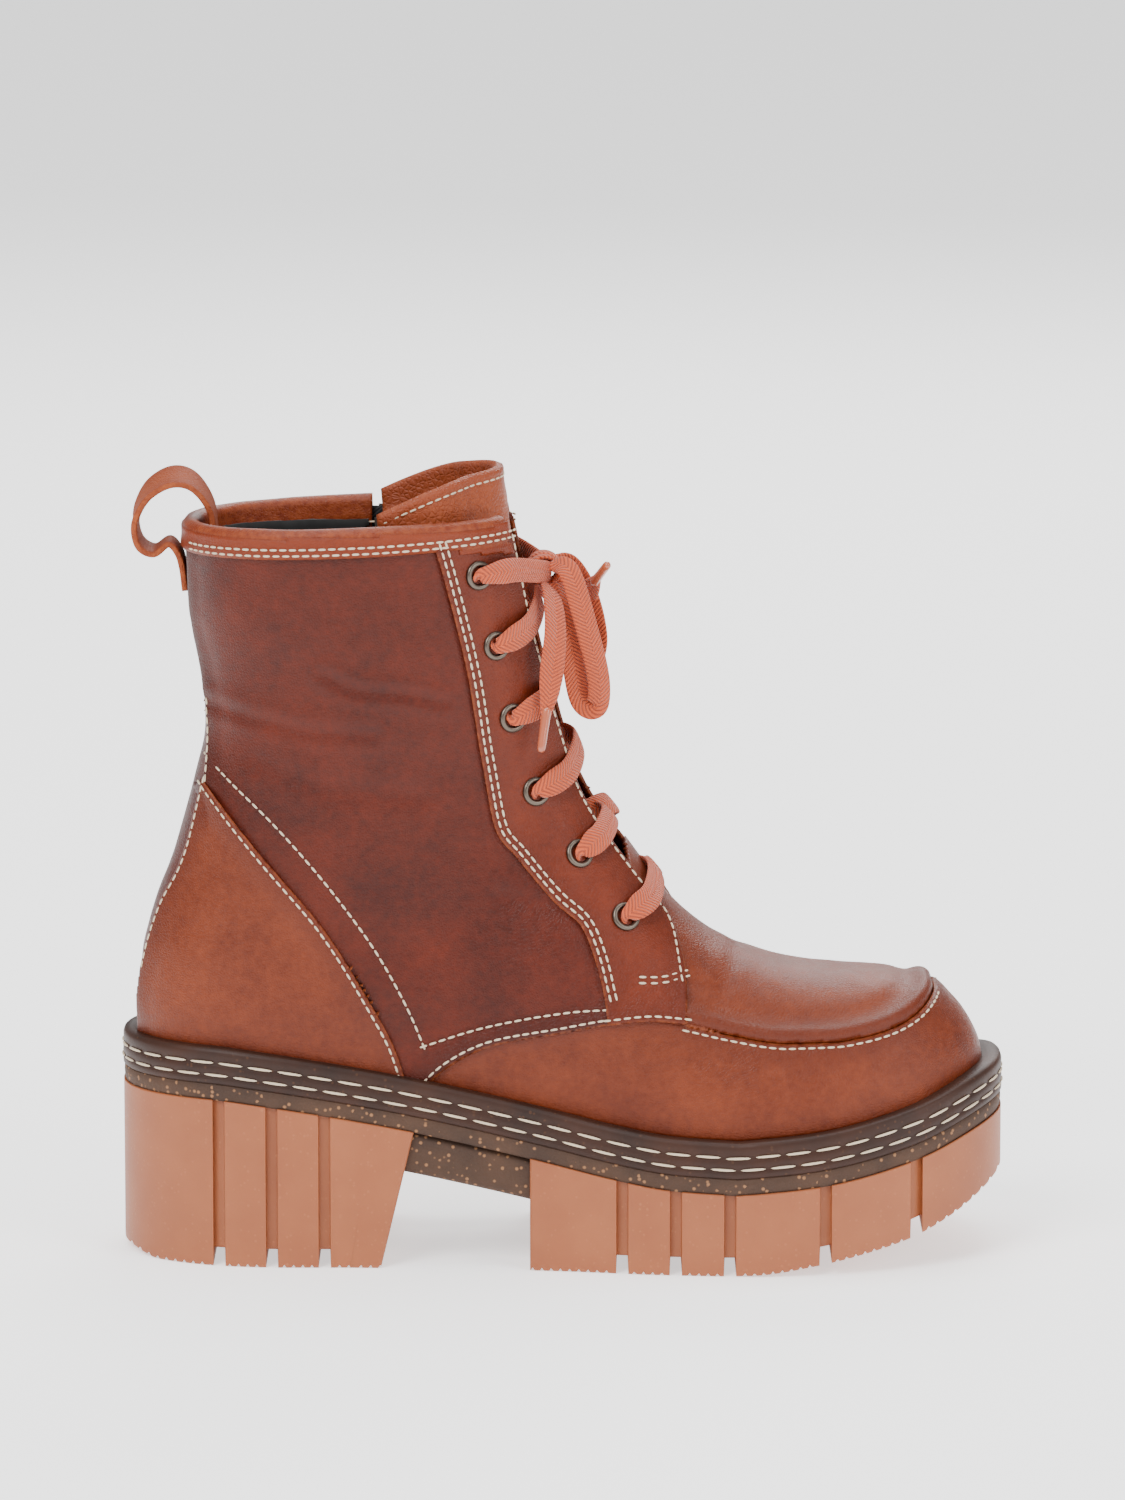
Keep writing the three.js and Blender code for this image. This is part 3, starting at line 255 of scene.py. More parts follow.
def on_upper(xz, side, lift=0.0, step=0.4):
    """Point on the upper and its outward normal, from the cross product of the two side-view directions."""
    xz = np.asarray(xz, float)
    dx, dz = np.array([step, 0]), np.array([0, step])
    along = side_point(xz + dx, side) - side_point(xz - dx, side)
    up = side_point(xz + dz, side) - side_point(xz - dz, side)
    normal = unit(np.cross(up, along) * side)
    return side_point(xz, side) + normal * np.asarray(lift)[..., None], normal


def upper_point(reach, turn):
    """3-D point of the upper: reach along the front profile, turn from 0 at the back by the outer side to 1
    at the front and by the inner side to 2 at the back again."""
    side_share = np.where(turn <= 1, turn, 2 - turn)
    back_z = back_height(reach)
    share = (1 - np.cos(np.pi * side_share)) / 2
    ends_x = back_x(back_z), front_at(reach, 0)
    x = mix(*ends_x, share)
    chord = mix(welt_top(ends_x[0]), welt_top(ends_x[1]), share)
    fade = np.clip(1 - reach / 127, 0, 1) ** 2
    z = mix(back_z, front_at(reach, 1), share) + (welt_top(x) - chord) * fade
    y = np.where(turn <= 1, -half_width(x, z, LATERAL), half_width(x, z, MEDIAL))
    ends = (side_share <= 1e-9) | (side_share >= 1 - 1e-9)
    return np.stack([x, np.where(ends, 0, y), z], -1)


# ---------------------------------------------------------------- seams and edges, in side view

BACKSTAY_EDGE = [
    (-133.2, 60), (-133.8, 80), (-131.8, 95), (-127, 111), (-119.5, 127), (-112.8, 152.5), (-111.4, 169),
    (-112.8, 184), (-116.6, 207), (-117.6, 226),
]
COUNTER_EDGE = [(-112.8, 152.5), (-94, 130), (-75.5, 107.7), (-62.6, 87), (-53.3, 69.4), (-49.6, 58)]
VAMP_EDGE = [(-45, 56), (-37, 63.5), (-22.8, 70.8), (-0.7, 75.3), (13.6, 78), (26, 79.6), (38.2, 77.8)]
APRON_EDGE = [
    (38.2, 77.8), (52.8, 74.4), (70, 71.9), (84.6, 72), (93.5, 73), (102.7, 75), (110, 78), (115.5, 82), (119, 86),
]
FACING_REAR = [
    (13.6, 78), (12.6, 86), (9.2, 98.6), (5, 108.2), (-3.2, 115.7), (-15.5, 130), (-21.8, 138), (-26.5, 161),
    (-30.7, 187), (-39, 222), (-41, 229),
]
FACING_FRONT = [
    (38.2, 77.8), (37.6, 91), (34.4, 103), (31.3, 109), (25, 117), (10, 137), (3.3, 148.5), (-4.5, 173),
    (-10.5, 195), (-14.5, 213), (-18, 229.8),
]
COLLAR_SEAM = [(-150, 225.5), (-117.6, 226), (-95, 226.6), (-60, 228), (-41, 229), (-18, 229.8), (20, 230)]
collar_top = curve([(-119, 233.5), (-95, 234), (-60, 235.3), (-41, 236), (-12, 236.5)])
EYELETS = np.array([(-27.8, 219.5), (-22.4, 197), (-17.2, 174), (-9.8, 150), (3.8, 130), (18.5, 110.5)])
ZIP_TOP, ZIP_BOTTOM = (-57, 233), (-48, 84)


def zip_x(z):
    return mix(ZIP_BOTTOM[0], ZIP_TOP[0], (z - ZIP_BOTTOM[1]) / (ZIP_TOP[1] - ZIP_BOTTOM[1]))


def smooth(points, count=80):
    return even(fine(points, count), count)


# ---------------------------------------------------------------- meshes

board_low, board_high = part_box("insole_board")
SHIFT = np.array([
    (board_low.x + board_high.x) * 500 - (HEEL_X + TOE_X) / 2,
    0.155,
    0.0,
])


def put(
    name, verts, faces, body="boot", replaces=(), slot="leather", material=None, smooth_faces=True, **attributes
):
    """Makes a piece of millimetre points and faces, in the row frame, riding on a body."""
    data = bpy.data.meshes.new(name)
    data.from_pydata((np.asarray(verts, float) + SHIFT) * 0.001, [], faces)
    data.validate()
    data.polygons.foreach_set("use_smooth", np.full(len(data.polygons), smooth_faces))
    for label, values in attributes.items():
        if label == "uv":
            layer = data.uv_layers.new(name="UVMap")
            loops = np.empty(len(data.loops), int)
            data.loops.foreach_get("vertex_index", loops)
            layer.data.foreach_set("uv", np.asarray(values, np.float32)[loops].ravel())
        else:
            made = data.attributes.new(label, "FLOAT", "POINT")
            made.data.foreach_set("value", np.asarray(values, np.float32))
    piece = bpy.data.objects.new(name, data)
    bpy.context.scene.collection.objects.link(piece)
    if material is not None:
        data.materials.append(material)
    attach(piece, body)
    if replaces:
        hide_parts(*replaces)
    return piece


def grid_faces(rows, columns, ring=False, tube=False):
    """Quads of a rows by columns grid of points; ring closes the columns, tube closes the rows."""
    i = np.arange(rows if tube else rows - 1)[:, None]
    j = np.arange(columns if ring else columns - 1)[None, :]
    i2, j2 = (i + 1) % rows, (j + 1) % columns
    corners = [i * columns + j, i * columns + j2, i2 * columns + j2, i2 * columns + j]
    return np.stack(corners, -1).reshape(-1, 4)


def capped(rows, columns):
    """Two fans that close the open ends of a ring-closed grid on two extra points after it."""
    j = np.arange(columns)
    j2 = (j + 1) % columns
    first, last = rows * columns, rows * columns + 1
    a = np.stack([np.full(columns, first), j2, j], -1)
    b = np.stack([np.full(columns, last), (rows - 1) * columns + j, (rows - 1) * columns + j2], -1)
    return [tuple(f) for f in np.vstack([a, b])]


def orient(verts, faces):
    """Turns a closed piece's faces outward: its signed volume, summed over fans of triangles, is made
    positive."""
    tri = np.array([(f[0], f[k], f[k + 1]) for f in faces for k in range(1, len(f) - 1)])
    a, b, c = (verts[tri[:, k]] for k in range(3))
    volume = np.sum(a * np.cross(b, c))
    return faces if volume > 0 else [tuple(f[::-1]) for f in faces]


def closed_tube(grid, ends=None):
    """A closed body from rows of ring-closed sections, capped on the middles of its end sections or on ends."""
    rows, columns = grid.shape[:2]
    first, last = (grid[0].mean(0), grid[-1].mean(0)) if ends is None else ends
    verts = np.vstack([grid.reshape(-1, 3), first, last])
    faces = [tuple(q) for q in grid_faces(rows, columns, ring=True)] + capped(rows, columns)
    return verts, orient(verts, faces)


def solidify(piece, thickness):
    """Gives a sheet a wall of a thickness in millimetres, grown inwards from its outer face."""
    m = piece.modifiers.new("Thickness", "SOLIDIFY")
    m.thickness = thickness * 0.001
    m.offset = -1.0
    m.use_rim = True
    return piece


def frames(line, hint):
    """Tangent, side and normal along a line; the normal follows hint, made square to the tangent."""
    tangent = unit(np.gradient(line, axis=0))
    normal = unit(hint - tangent * np.sum(hint * tangent, -1, keepdims=True))
    return tangent, np.cross(normal, tangent), normal


def near_line(points, line, reach):
    """Distance to a polyline and its nearest point, for points closer than reach."""
    distance = np.full(len(points), 1e3)
    nearest = np.array(points, float)
    low, high = line.min(0) - reach, line.max(0) + reach
    chosen = np.flatnonzero(np.all((points >= low) & (points <= high), axis=1))
    a, step = line[:-1], np.diff(line, axis=0)
    square = np.maximum(np.sum(step**2, 1), 1e-12)
    for part in np.array_split(chosen, max(1, len(chosen) * len(a) // 2000000)):
        p = points[part][:, None]
        u = np.clip(np.sum((p - a) * step, -1) / square, 0, 1)
        q = a + step * u[..., None]
        d = np.linalg.norm(p - q, axis=-1)
        k = d.argmin(1)
        rows = np.arange(len(part))
        distance[part] = d[rows, k]
        nearest[part] = q[rows, k]
    return distance, nearest


def inside(xz, outline):
    """Even-odd test: a side-view point is inside where a ray crosses the outline an odd number of times."""
    a = np.asarray(outline, float)
    b = np.roll(a, -1, axis=0)
    x, z = xz[:, 0], xz[:, 1]
    odd = np.zeros(len(xz), bool)
    for (x0, z0), (x1, z1) in zip(a, b):
        if z0 != z1:
            odd ^= ((z0 > z) != (z1 > z)) & (x < (x1 - x0) * (z - z0) / (z1 - z0) + x0)
    return odd


# ---------------------------------------------------------------- materials


class Tree:
    """Short way to write a node tree: node(kind, socket=value or socket, ...) makes and links one node."""

    def __init__(self, tree):
        self.tree = tree

    def node(self, kind, settings=None, **inputs):
        made = self.tree.nodes.new(kind)
        for key, value in (settings or {}).items():
            setattr(made, key, value)
        for key, value in inputs.items():
            by_number = key[0] == "i" and key[1:].isdigit()
            socket = made.inputs[int(key[1:]) if by_number else key.replace("_", " ")]
            if isinstance(value, bpy.types.NodeSocket):
                self.tree.links.new(value, socket)
            else:
                socket.default_value = value
        return made

    def math(self, operation, a, b=0.0, clamp=False):
        return self.node("ShaderNodeMath", {"operation": operation, "use_clamp": clamp}, i0=a, i1=b).outputs[0]

    def mix(self, share, a, b):
        made = self.node("ShaderNodeMix", {"data_type": "RGBA"}, i0=share)
        for index, value in ((6, a), (7, b)):
            if isinstance(value, bpy.types.NodeSocket):
                self.tree.links.new(value, made.inputs[index])
            else:
                made.inputs[index].default_value = value
        return made.outputs[2]

    def span(self, value, low, high, to_low=0.0, to_high=1.0):
        made = self.node("ShaderNodeMapRange", None, i0=value, i1=low, i2=high, i3=to_low, i4=to_high)
        return made.outputs[0]

    def noise(self, place, scale, detail, **more):
        made = self.node("ShaderNodeTexNoise", None, Vector=place, Scale=scale, Detail=detail, **more)
        return made.outputs["Fac"]

    def times(self, a, b):
        return self.math("MULTIPLY", a, b)

    def plus(self, a, b, clamp=False):
        return self.math("ADD", a, b, clamp)


def group(name, inputs, outputs, build):
    """A shader node group made once, with named sockets; build fills it from its inputs and gives its outputs."""
    found = bpy.data.node_groups.get(name)
    if found:
        return found
    made = bpy.data.node_groups.new(name, "ShaderNodeTree")
    for label, kind, value in inputs:
        socket = made.interface.new_socket(label, in_out="INPUT", socket_type=kind)
        socket.default_value = value
    for label, kind in outputs:
        made.interface.new_socket(label, in_out="OUTPUT", socket_type=kind)
    tree = Tree(made)
    entry = made.nodes.new("NodeGroupInput")
    leave = made.nodes.new("NodeGroupOutput")
    for socket, result in zip(leave.inputs, build(tree, entry.outputs)):
        made.links.new(result, socket)
    return made


FLOAT, COLOUR, VECTOR = "NodeSocketFloat", "NodeSocketColor", "NodeSocketVector"


def grain_group():
    """Leather: blotchy tone, fine pebble and pores as a height, paler rubbed edges and darker bands along the
    edges.
    """

    def build(t, at):
        place = t.node("ShaderNodeTexCoord").outputs["Object"]
        cloud = t.noise(place, 38.0, 5.0, Roughness=0.6)
        mottle = t.noise(place, 420.0, 4.0, Roughness=0.65)
        cells = t.node("ShaderNodeTexVoronoi", {"feature": "DISTANCE_TO_EDGE"}, Vector=place, Scale=at["Pebble"])
        pebble = t.span(cells.outputs["Distance"], 0.0, 0.25)
        pores = t.noise(place, 3400.0, 2.0)
        tone = t.plus(t.times(t.span(cloud, 0.3, 0.7), 0.6), t.times(t.span(mottle, 0.3, 0.7), 0.4))
        colour = t.mix(tone, at["Dark"], at["Colour"])
        edge = t.node("ShaderNodeAttribute", {"attribute_name": "edge"}).outputs["Fac"]
        burnt = t.times(t.span(edge, 0.8, 9.0, 0.75, 0.0), t.span(cloud, 0.25, 0.6, 0.5, 1.0))
        colour = t.mix(burnt, colour, at["Dark"])
        worn = t.times(at["Rub"], t.span(mottle, 0.35, 0.6))
        colour = t.mix(t.times(t.span(edge, 0.0, 0.9, 1.0, 0.0), worn), colour, at["Worn"])
        roughness = t.plus(at["Roughness"], t.times(t.math("SUBTRACT", mottle, 0.5), 0.25))
        pitted = t.plus(t.times(pores, 0.25), t.times(mottle, 0.5))
        height = t.plus(t.times(pebble, 0.6), pitted)
        return colour, roughness, height

    return group(
        "Leather Grain",
        [
            ("Colour", COLOUR, (0.2, 0.05, 0.03, 1)), ("Dark", COLOUR, (0.1, 0.02, 0.01, 1)),
            ("Worn", COLOUR, (0.4, 0.16, 0.09, 1)), ("Rub", FLOAT, 0.4), ("Pebble", FLOAT, 900.0),
            ("Roughness", FLOAT, 0.45),
        ],
        [("Colour", COLOUR), ("Roughness", FLOAT), ("Height", FLOAT)],
        build,
    )


def speckle_group():
    """Moulded rubber and cork: flecks of a second colour, low clouds of tone and a fine matt height."""

    def build(t, at):
        place = t.node("ShaderNodeTexCoord").outputs["Object"]
        cloud = t.noise(place, 60.0, 4.0)
        fine_noise = t.noise(place, 1500.0, 3.0)
        cells = t.node("ShaderNodeTexVoronoi", None, Vector=place, Scale=at["Fleck Scale"])
        lot = t.node("ShaderNodeSeparateColor", None, i0=cells.outputs["Color"]).outputs[0]
        chosen = t.span(lot, at["Cover"], 1.0)
        small = t.span(cells.outputs["Distance"], 0.25, 0.5, 1.0, 0.0)
        flecks = t.times(t.math("GREATER_THAN", chosen, 0.0), small)
        colour = t.mix(t.span(cloud, 0.3, 0.7), at["Dark"], at["Colour"])
        colour = t.mix(flecks, colour, at["Fleck"])
        roughness = t.plus(at["Roughness"], t.times(t.math("SUBTRACT", fine_noise, 0.5), 0.2))
        return colour, roughness, t.plus(t.times(fine_noise, 0.6), t.times(flecks, 0.4))

    return group(
        "Speckle",
        [
            ("Colour", COLOUR, (0.4, 0.2, 0.1, 1)), ("Dark", COLOUR, (0.3, 0.15, 0.08, 1)),
            ("Fleck", COLOUR, (0.5, 0.3, 0.2, 1)), ("Fleck Scale", FLOAT, 900.0), ("Cover", FLOAT, 0.9),
            ("Roughness", FLOAT, 0.6),
        ],
        [("Colour", COLOUR), ("Roughness", FLOAT), ("Height", FLOAT)],
        build,
    )


def weave_group():
    """Braid: ribs slanting away from the middle both ways, from the piece's UV in millimetres; its colour is a
    painted highlight on the crowns and painted shade between them, mixed with a fibre noise of the yarn's own tone."""

    def build(t, at):
        uv = t.node("ShaderNodeUVMap", {"uv_map": "UVMap"}).outputs[0]
        parts = t.node("ShaderNodeSeparateXYZ", None, i0=uv).outputs
        across = t.math("ABSOLUTE", parts[0])
        slant = t.plus(parts[1], t.times(across, at["Slant"]))
        rib = t.math("ABSOLUTE", t.math("SINE", t.times(slant, t.math("DIVIDE", np.pi, at["Pitch"]))))
        fibre = t.noise(uv, 6.0, 3.0)
        # painted highlight on the rib crowns and painted shade between the ribs, plus the yarn's own fibre tone
        shade = t.plus(t.times(rib, 0.7), t.times(fibre, 0.4), True)
        return t.mix(shade, at["Dark"], at["Colour"]), t.plus(rib, t.times(fibre, 0.3))

    return group(
        "Braid",
        [
            ("Colour", COLOUR, (0.6, 0.2, 0.1, 1)), ("Dark", COLOUR, (0.3, 0.1, 0.05, 1)), ("Pitch", FLOAT, 1.3),
            ("Slant", FLOAT, 0.8),
        ],
        [("Colour", COLOUR), ("Height", FLOAT)],
        build,
    )


def rgba(colour):
    return (*colour, 1.0)


def material(name, **principled):
    """A Principled material with constants set on its sockets; returns it, its tree and its shader node."""
    made = bpy.data.materials.new(name)
    made.use_nodes = True
    shader = made.node_tree.nodes["Principled BSDF"]
    for key, value in principled.items():
        shader.inputs[key.replace("_", " ")].default_value = value
    return made, Tree(made.node_tree), shader


def grouped(name, source, inputs, depth, strength, **principled):
    """A Principled material fed by a node group: its colour, its roughness if any, and its height as a bump."""
    found = bpy.data.materials.get(name)
    if found:
        return found
    made, t, shader = material(name, **principled)
    fill = t.node("ShaderNodeGroup", {"node_tree": source})
    for key, value in inputs.items():
        fill.inputs[key].default_value = value
    t.tree.links.new(fill.outputs["Colour"], shader.inputs["Base Color"])
    if "Roughness" in fill.outputs:
        t.tree.links.new(fill.outputs["Roughness"], shader.inputs["Roughness"])
    relief = t.node("ShaderNodeBump", None, Strength=strength, Distance=depth, Height=fill.outputs["Height"])
    t.tree.links.new(relief.outputs[0], shader.inputs["Normal"])
    return made


def leather_finish(name, colour, dark, roughness=0.42, rub=0.5, pebble=1000.0, strength=0.35):
    inputs = {
        "Colour": rgba(colour), "Dark": rgba(dark), "Worn": (0.4, 0.1, 0.03, 1), "Rub": rub, "Pebble": pebble,
        "Roughness": roughness,
    }
    gloss = {"Coat_Weight": 0.03, "Coat_Roughness": 0.35, "Specular_IOR_Level": 0.25}
    return grouped(name, grain_group(), inputs, 0.0004, strength, **gloss)


def finish_of(kind):
    """The boot's finishes by name."""
    if kind == "quarter":
        return leather_finish("Quarter leather", (0.11, 0.0115, 0.002), (0.036, 0.0032, 0.0007))
    if kind == "foot":
        return leather_finish("Foot leather", (0.2, 0.037, 0.0105), (0.085, 0.0115, 0.003))
    if kind == "facing":
        return leather_finish("Facing leather", (0.165, 0.022, 0.005), (0.08, 0.0095, 0.002))
    if kind == "collar":
        return leather_finish("Collar leather", (0.25, 0.042, 0.011), (0.14, 0.019, 0.005), rub=0.3)
    if kind == "tongue":
        return leather_finish("Tongue leather", (0.34, 0.074, 0.022), (0.21, 0.037, 0.011), 0.5, 0.3, 620.0, 0.8)
    if kind == "suede":
        return leather_finish("Loop leather", (0.34, 0.076, 0.024), (0.2, 0.036, 0.011), 0.75, 0.5, 800.0, 0.6)
    if kind == "rubber":
        inputs = {
            "Colour": (0.33, 0.095, 0.029, 1), "Dark": (0.285, 0.076, 0.022, 1), "Fleck": (0.35, 0.105, 0.034, 1),
            "Roughness": 0.5,
        }
        glow = {"Subsurface_Weight": 0.06, "Subsurface_Scale": 0.004}
        return grouped("Gum rubber", speckle_group(), inputs, 0.0002, 0.3, **glow)
    if kind == "cork":
        inputs = {
            "Colour": (0.07, 0.03, 0.013, 1), "Dark": (0.035, 0.014, 0.006, 1), "Fleck": (0.26, 0.12, 0.05, 1),
            "Fleck Scale": 700.0, "Cover": 0.78, "Roughness": 0.75,
        }
        return grouped("Cork mix", speckle_group(), inputs, 0.0004, 0.6)
    if kind == "welt":
        inputs = {
            "Colour": (0.04, 0.012, 0.005, 1), "Dark": (0.018, 0.006, 0.003, 1), "Fleck": (0.05, 0.018, 0.007, 1),
            "Roughness": 0.5,
        }
        return grouped("Welt", speckle_group(), inputs, 0.0002, 0.3, Specular_IOR_Level=0.3)
    if kind == "lace":
        inputs = {"Colour": (0.62, 0.095, 0.022, 1), "Dark": (0.26, 0.03, 0.007, 1)}
        return grouped("Braided lace", weave_group(), inputs, 0.0005, 0.9, Roughness=0.85, Sheen_Weight=0.2)
    if kind == "tape":
        inputs = {"Colour": (0.016, 0.016, 0.018, 1), "Dark": (0.006, 0.006, 0.007, 1)}
        return grouped("Zip tape", weave_group(), inputs, 0.0003, 0.6, Roughness=0.85)
    plain = {
        "fleece": {"Base_Color": (0.008, 0.008, 0.008, 1), "Roughness": 1.0, "Sheen_Weight": 0.15},
        "thread": {"Base_Color": (0.62, 0.5, 0.36, 1), "Roughness": 0.7},
        "bronze": {"Base_Color": (0.13, 0.105, 0.085, 1), "Metallic": 1.0, "Roughness": 0.36},
        "steel": {"Base_Color": (0.2, 0.19, 0.175, 1), "Metallic": 1.0, "Roughness": 0.33},
        "aglet": {"Base_Color": (0.42, 0.1, 0.045, 1), "Roughness": 0.25, "Coat_Weight": 0.6},
        "board": {"Base_Color": (0.4, 0.28, 0.16, 1), "Roughness": 0.9},
        "teeth": {"Base_Color": (0.02, 0.02, 0.022, 1), "Roughness": 0.35},
    }[kind]
    name = "Plain " + kind
    return bpy.data.materials.get(name) or material(name, **plain)[0]


# ---------------------------------------------------------------- the upper's panels

AROUND, UP = 300, 270
_upper = {}


def upper_grid():
    """The whole upper as rows of points, ring-closed: points, outward normals and turns.
    Rows are evenly spaced along the front profile; columns are evenly spaced in turn. Normals are the cross product
    of the grid's two directions, with no sideways part in the back and front middle columns."""
    if not _upper:
        reach = np.linspace(0, FRONT_TOTAL, UP)[:, None]
        turn = np.linspace(0, 2, 2 * AROUND + 1)[None, :-1]
        reach, turn = np.broadcast_arrays(reach, turn)
        points = upper_point(reach, turn)
        along = np.roll(points, -1, 1) - np.roll(points, 1, 1)
        normal = unit(np.cross(along, np.gradient(points, axis=0)))
        for column in (0, AROUND):
            normal[:, column, 1] = 0
        _upper.update(points=points, normals=unit(normal), turn=turn)
    return _upper


def silhouette(line, side):
    """The part of a side-view line within the back and front profiles, in 3-D, with a held point past each end."""
    p = np.array(line, float)
    x, z = p[:, 0], p[:, 1]
    front = np.where(z > 62, front_x(z), TOE_X) - 1e-3
    back = back_x(z) + 1e-3
    within = (x <= front) & (x >= back)
    kept = within | np.append(within[1:], False) | np.append(False, within[:-1])
    held = np.stack([np.clip(x, back, front), z], 1)
    return side_point(held[kept] if kept.sum() > 1 else held, side)


CREASES = [
    ([(-75, 189), (-64, 184), (-50, 183), (-38, 180)], 0.55, 2.0),
    ([(-111, 177), (-96, 174), (-80, 171), (-60, 170)], 0.4, 2.4),
    ([(-96, 160), (-70, 152), (-45, 150)], 0.25, 3.6),
    ([(-20, 118), (2, 112), (10, 100)], 0.35, 3.0),
    ([(48, 84), (52, 93), (57, 99)], 0.2, 2.8),
]


def relief(p):
    """Unevenness of the hide at points of the upper: two sizes of noise, and creases as a valley
    -exp(-(d / w)^2) beside a lower ridge, at distance d from a line across the side."""
    height = 0.22 * hash_noise(p, 17.0, 3) + 0.1 * hash_noise(p, 6.0, 5)
    for line, deep, wide in CREASES:
        for side in (LATERAL, MEDIAL):
            away, _ = near_line(p, silhouette(smooth(line, 24), side), 14)
            height += deep * (0.5 * bump(away - wide * 1.7, wide) - bump(away, wide))
    return height


def on_side(turn, side):
    return (turn <= 1) if side == LATERAL else ((turn >= 1) | (turn == 0))


def cut_panel(outline, edges, sides, base=0.0, rise=1.1, run=9.0, profile=None, rough=1.0, every=1):
    """The part of the upper inside a side-view outline, and its finish.
    Corners within reach of an edge line move onto it, so the panel's edge is that line; quads inside are kept, and
    the half of each quad that the line cuts corner to corner. It is raised by base + rise (1 - ease(d / run)) at
    distance d from its edges, rolls over by 0.45 exp(-(d / 0.5)^2), and bends with soft creases and noise."""
    g = {key: values[::every, ::every] for key, values in upper_grid().items()}
    rows, columns = g["points"].shape[:2]
    p = g["points"].reshape(-1, 3).copy()
    n = g["normals"].reshape(-1, 3)
    turn = g["turn"].reshape(-1)
    keep_side = np.zeros(len(p), bool)
    for side in sides:
        keep_side |= on_side(turn, side)
    state = np.where(keep_side & inside(p[:, [0, 2]], outline), 1, -1)
    grid = g["points"]
    cell = np.maximum(
        np.linalg.norm(np.gradient(grid, axis=0), axis=-1),
        np.linalg.norm((np.roll(grid, -1, 1) - np.roll(grid, 1, 1)) / 2, axis=-1),
    ).reshape(-1)
    distance = np.full(len(p), 1e3)
    target = p.copy()
    for line in edges:
        for side in sides:
            d, q = near_line(p, silhouette(smooth(line, 110), side), 22)
            d = np.where(on_side(turn, side), d, 1e3)
            closer = d < distance
            distance = np.where(closer, d, distance)
            target[closer] = q[closer]
    snapped = keep_side & (distance < cell * 0.52)
    p[snapped] = target[snapped]
    state[snapped] = 0
    quads = grid_faces(rows, columns, ring=True)
    s = state[quads]
    whole = (s >= 0).all(1) & (s > 0).any(1)
    faces = [tuple(q) for q in quads[whole]]
    for corner in range(4):
        turned = np.roll(np.arange(4), -corner)
        off, after, far, before = s[:, turned].T
        pattern = (off < 0) & (after == 0) & (before == 0) & (far > 0)
        faces += [tuple(q) for q in quads[pattern][:, turned[1:]]]
    used = np.unique(np.concatenate([np.ravel(f) for f in faces]))
    index = np.full(len(p), -1)
    index[used] = np.arange(len(used))
    faces = [tuple(index[list(f)]) for f in faces]
    d = np.minimum(np.where(snapped, 0, distance), 40)
    shape = profile(d) if profile else base + rise * (1 - ease(d / run)) - 0.45 * bump(d, 0.5)
    height = shape + rough * relief(p)
    p = p + n * height[:, None]
    return p[used], faces, d[used]


def below(line, dx, dz):
    return [(x + dx, z + dz) for x, z in line]


def between(line, low, high):
    return [q for q in line if low - 0.01 <= q[0] <= high + 0.01]


def strip(start, end, low, high):
    """Side-view band about the zip line, from start to end in front of it, between two heights."""
    return [
        (zip_x(low) + start, low), (zip_x(low) + end, low), (zip_x(high) + end, high), (zip_x(high) + start, high),
    ]


def zip_gap(z):
    """Half width of the opening over the zip: full along it, closed below its end."""
    return 0.1 + 4.5 * ease((z - 78) / 7)


ZIP_HEIGHTS = np.concatenate([np.linspace(58, 90, 17), np.linspace(95, 240, 30)])
ZIP_FRONT_EDGE = [(zip_x(z) + zip_gap(z), z) for z in ZIP_HEIGHTS]
ZIP_REAR_EDGE = [(zip_x(z) - zip_gap(z), z) for z in ZIP_HEIGHTS]
APRON_FAR = [(150, 135), (150, 100)]
VAMP_UPPER = below(VAMP_EDGE, -3, 3.6)
VAMP_OUTLINE = [(-50, 20), *VAMP_UPPER, *APRON_EDGE[1:], (150, 100), (150, 20)]
PANELS = {
    "backstay": (
        "quarter", "backstay", (LATERAL, MEDIAL),
        [(-150, 20), (-130, 20), *below(BACKSTAY_EDGE, 3.2, 0), (-150, 226)], [], {"base": 0.0, "rise": 0.0},
    ),
    "vamp_wall": (
        "foot", "vamp_wall", (LATERAL, MEDIAL), VAMP_OUTLINE, [VAMP_UPPER, APRON_EDGE],
        {"base": 0.0, "rise": 0.9},
    ),
    "apron": (
        "foot", "apron", (LATERAL, MEDIAL),
        [(38.2, 77.8), (30, 91), (26, 103), (22, 112), (18, 135), *APRON_FAR, *APRON_EDGE[:0:-1]],
        [APRON_EDGE],
        {"profile": lambda d: 0.5 - 1.2 * bump(d, 0.7) + 1.9 * bump(d - 3.2, 2.6) - 0.7 * bump(d - 9.5, 3.5)},
    ),
}
QUARTER_OUTLINE = [
    *BACKSTAY_EDGE[5:], (-110, 229), (-41, 232), *below(FACING_REAR[::-1][1:], 4.5, 0),
    *between(VAMP_EDGE, -45, 20)[::-1],
    (-45, 20), (-56, 20), *below(COUNTER_EDGE[::-1], -5, -3),
]
QUARTER_EDGES = [BACKSTAY_EDGE[5:], VAMP_EDGE]
COUNTER_OUTLINE = [*BACKSTAY_EDGE[:6], *COUNTER_EDGE[1:], (-49.6, 20), (-133.2, 20)]
FACING_FOOT = [(38.2, 77.8), (26, 79.2), (13.6, 78)]
FACING_OUTLINE = [*FACING_REAR, (-19, 232), *FACING_FRONT[::-1], *FACING_FOOT[1:-1]]
COLLAR_LOW = below(COLLAR_SEAM, 0, -1.2)
COLLAR_FRONT = [(-17.6, 224), (-18.8, 229), (-19.8, 235)]
COLLAR_OUTLINE = [*COLLAR_LOW[:-2], *COLLAR_FRONT, (-41, 234.4), (-60, 233.8), (-95, 232.5), (-150, 232)]
STYLE = {
    "quarter": {"base": 0.8, "rise": 1.1}, "heel_panel": {"base": 1.5, "rise": 1.0},
    "facing": {"base": 1.7, "rise": 0.8}, "collar": {"base": 2.0, "rise": 0.5, "run": 5.0},
}


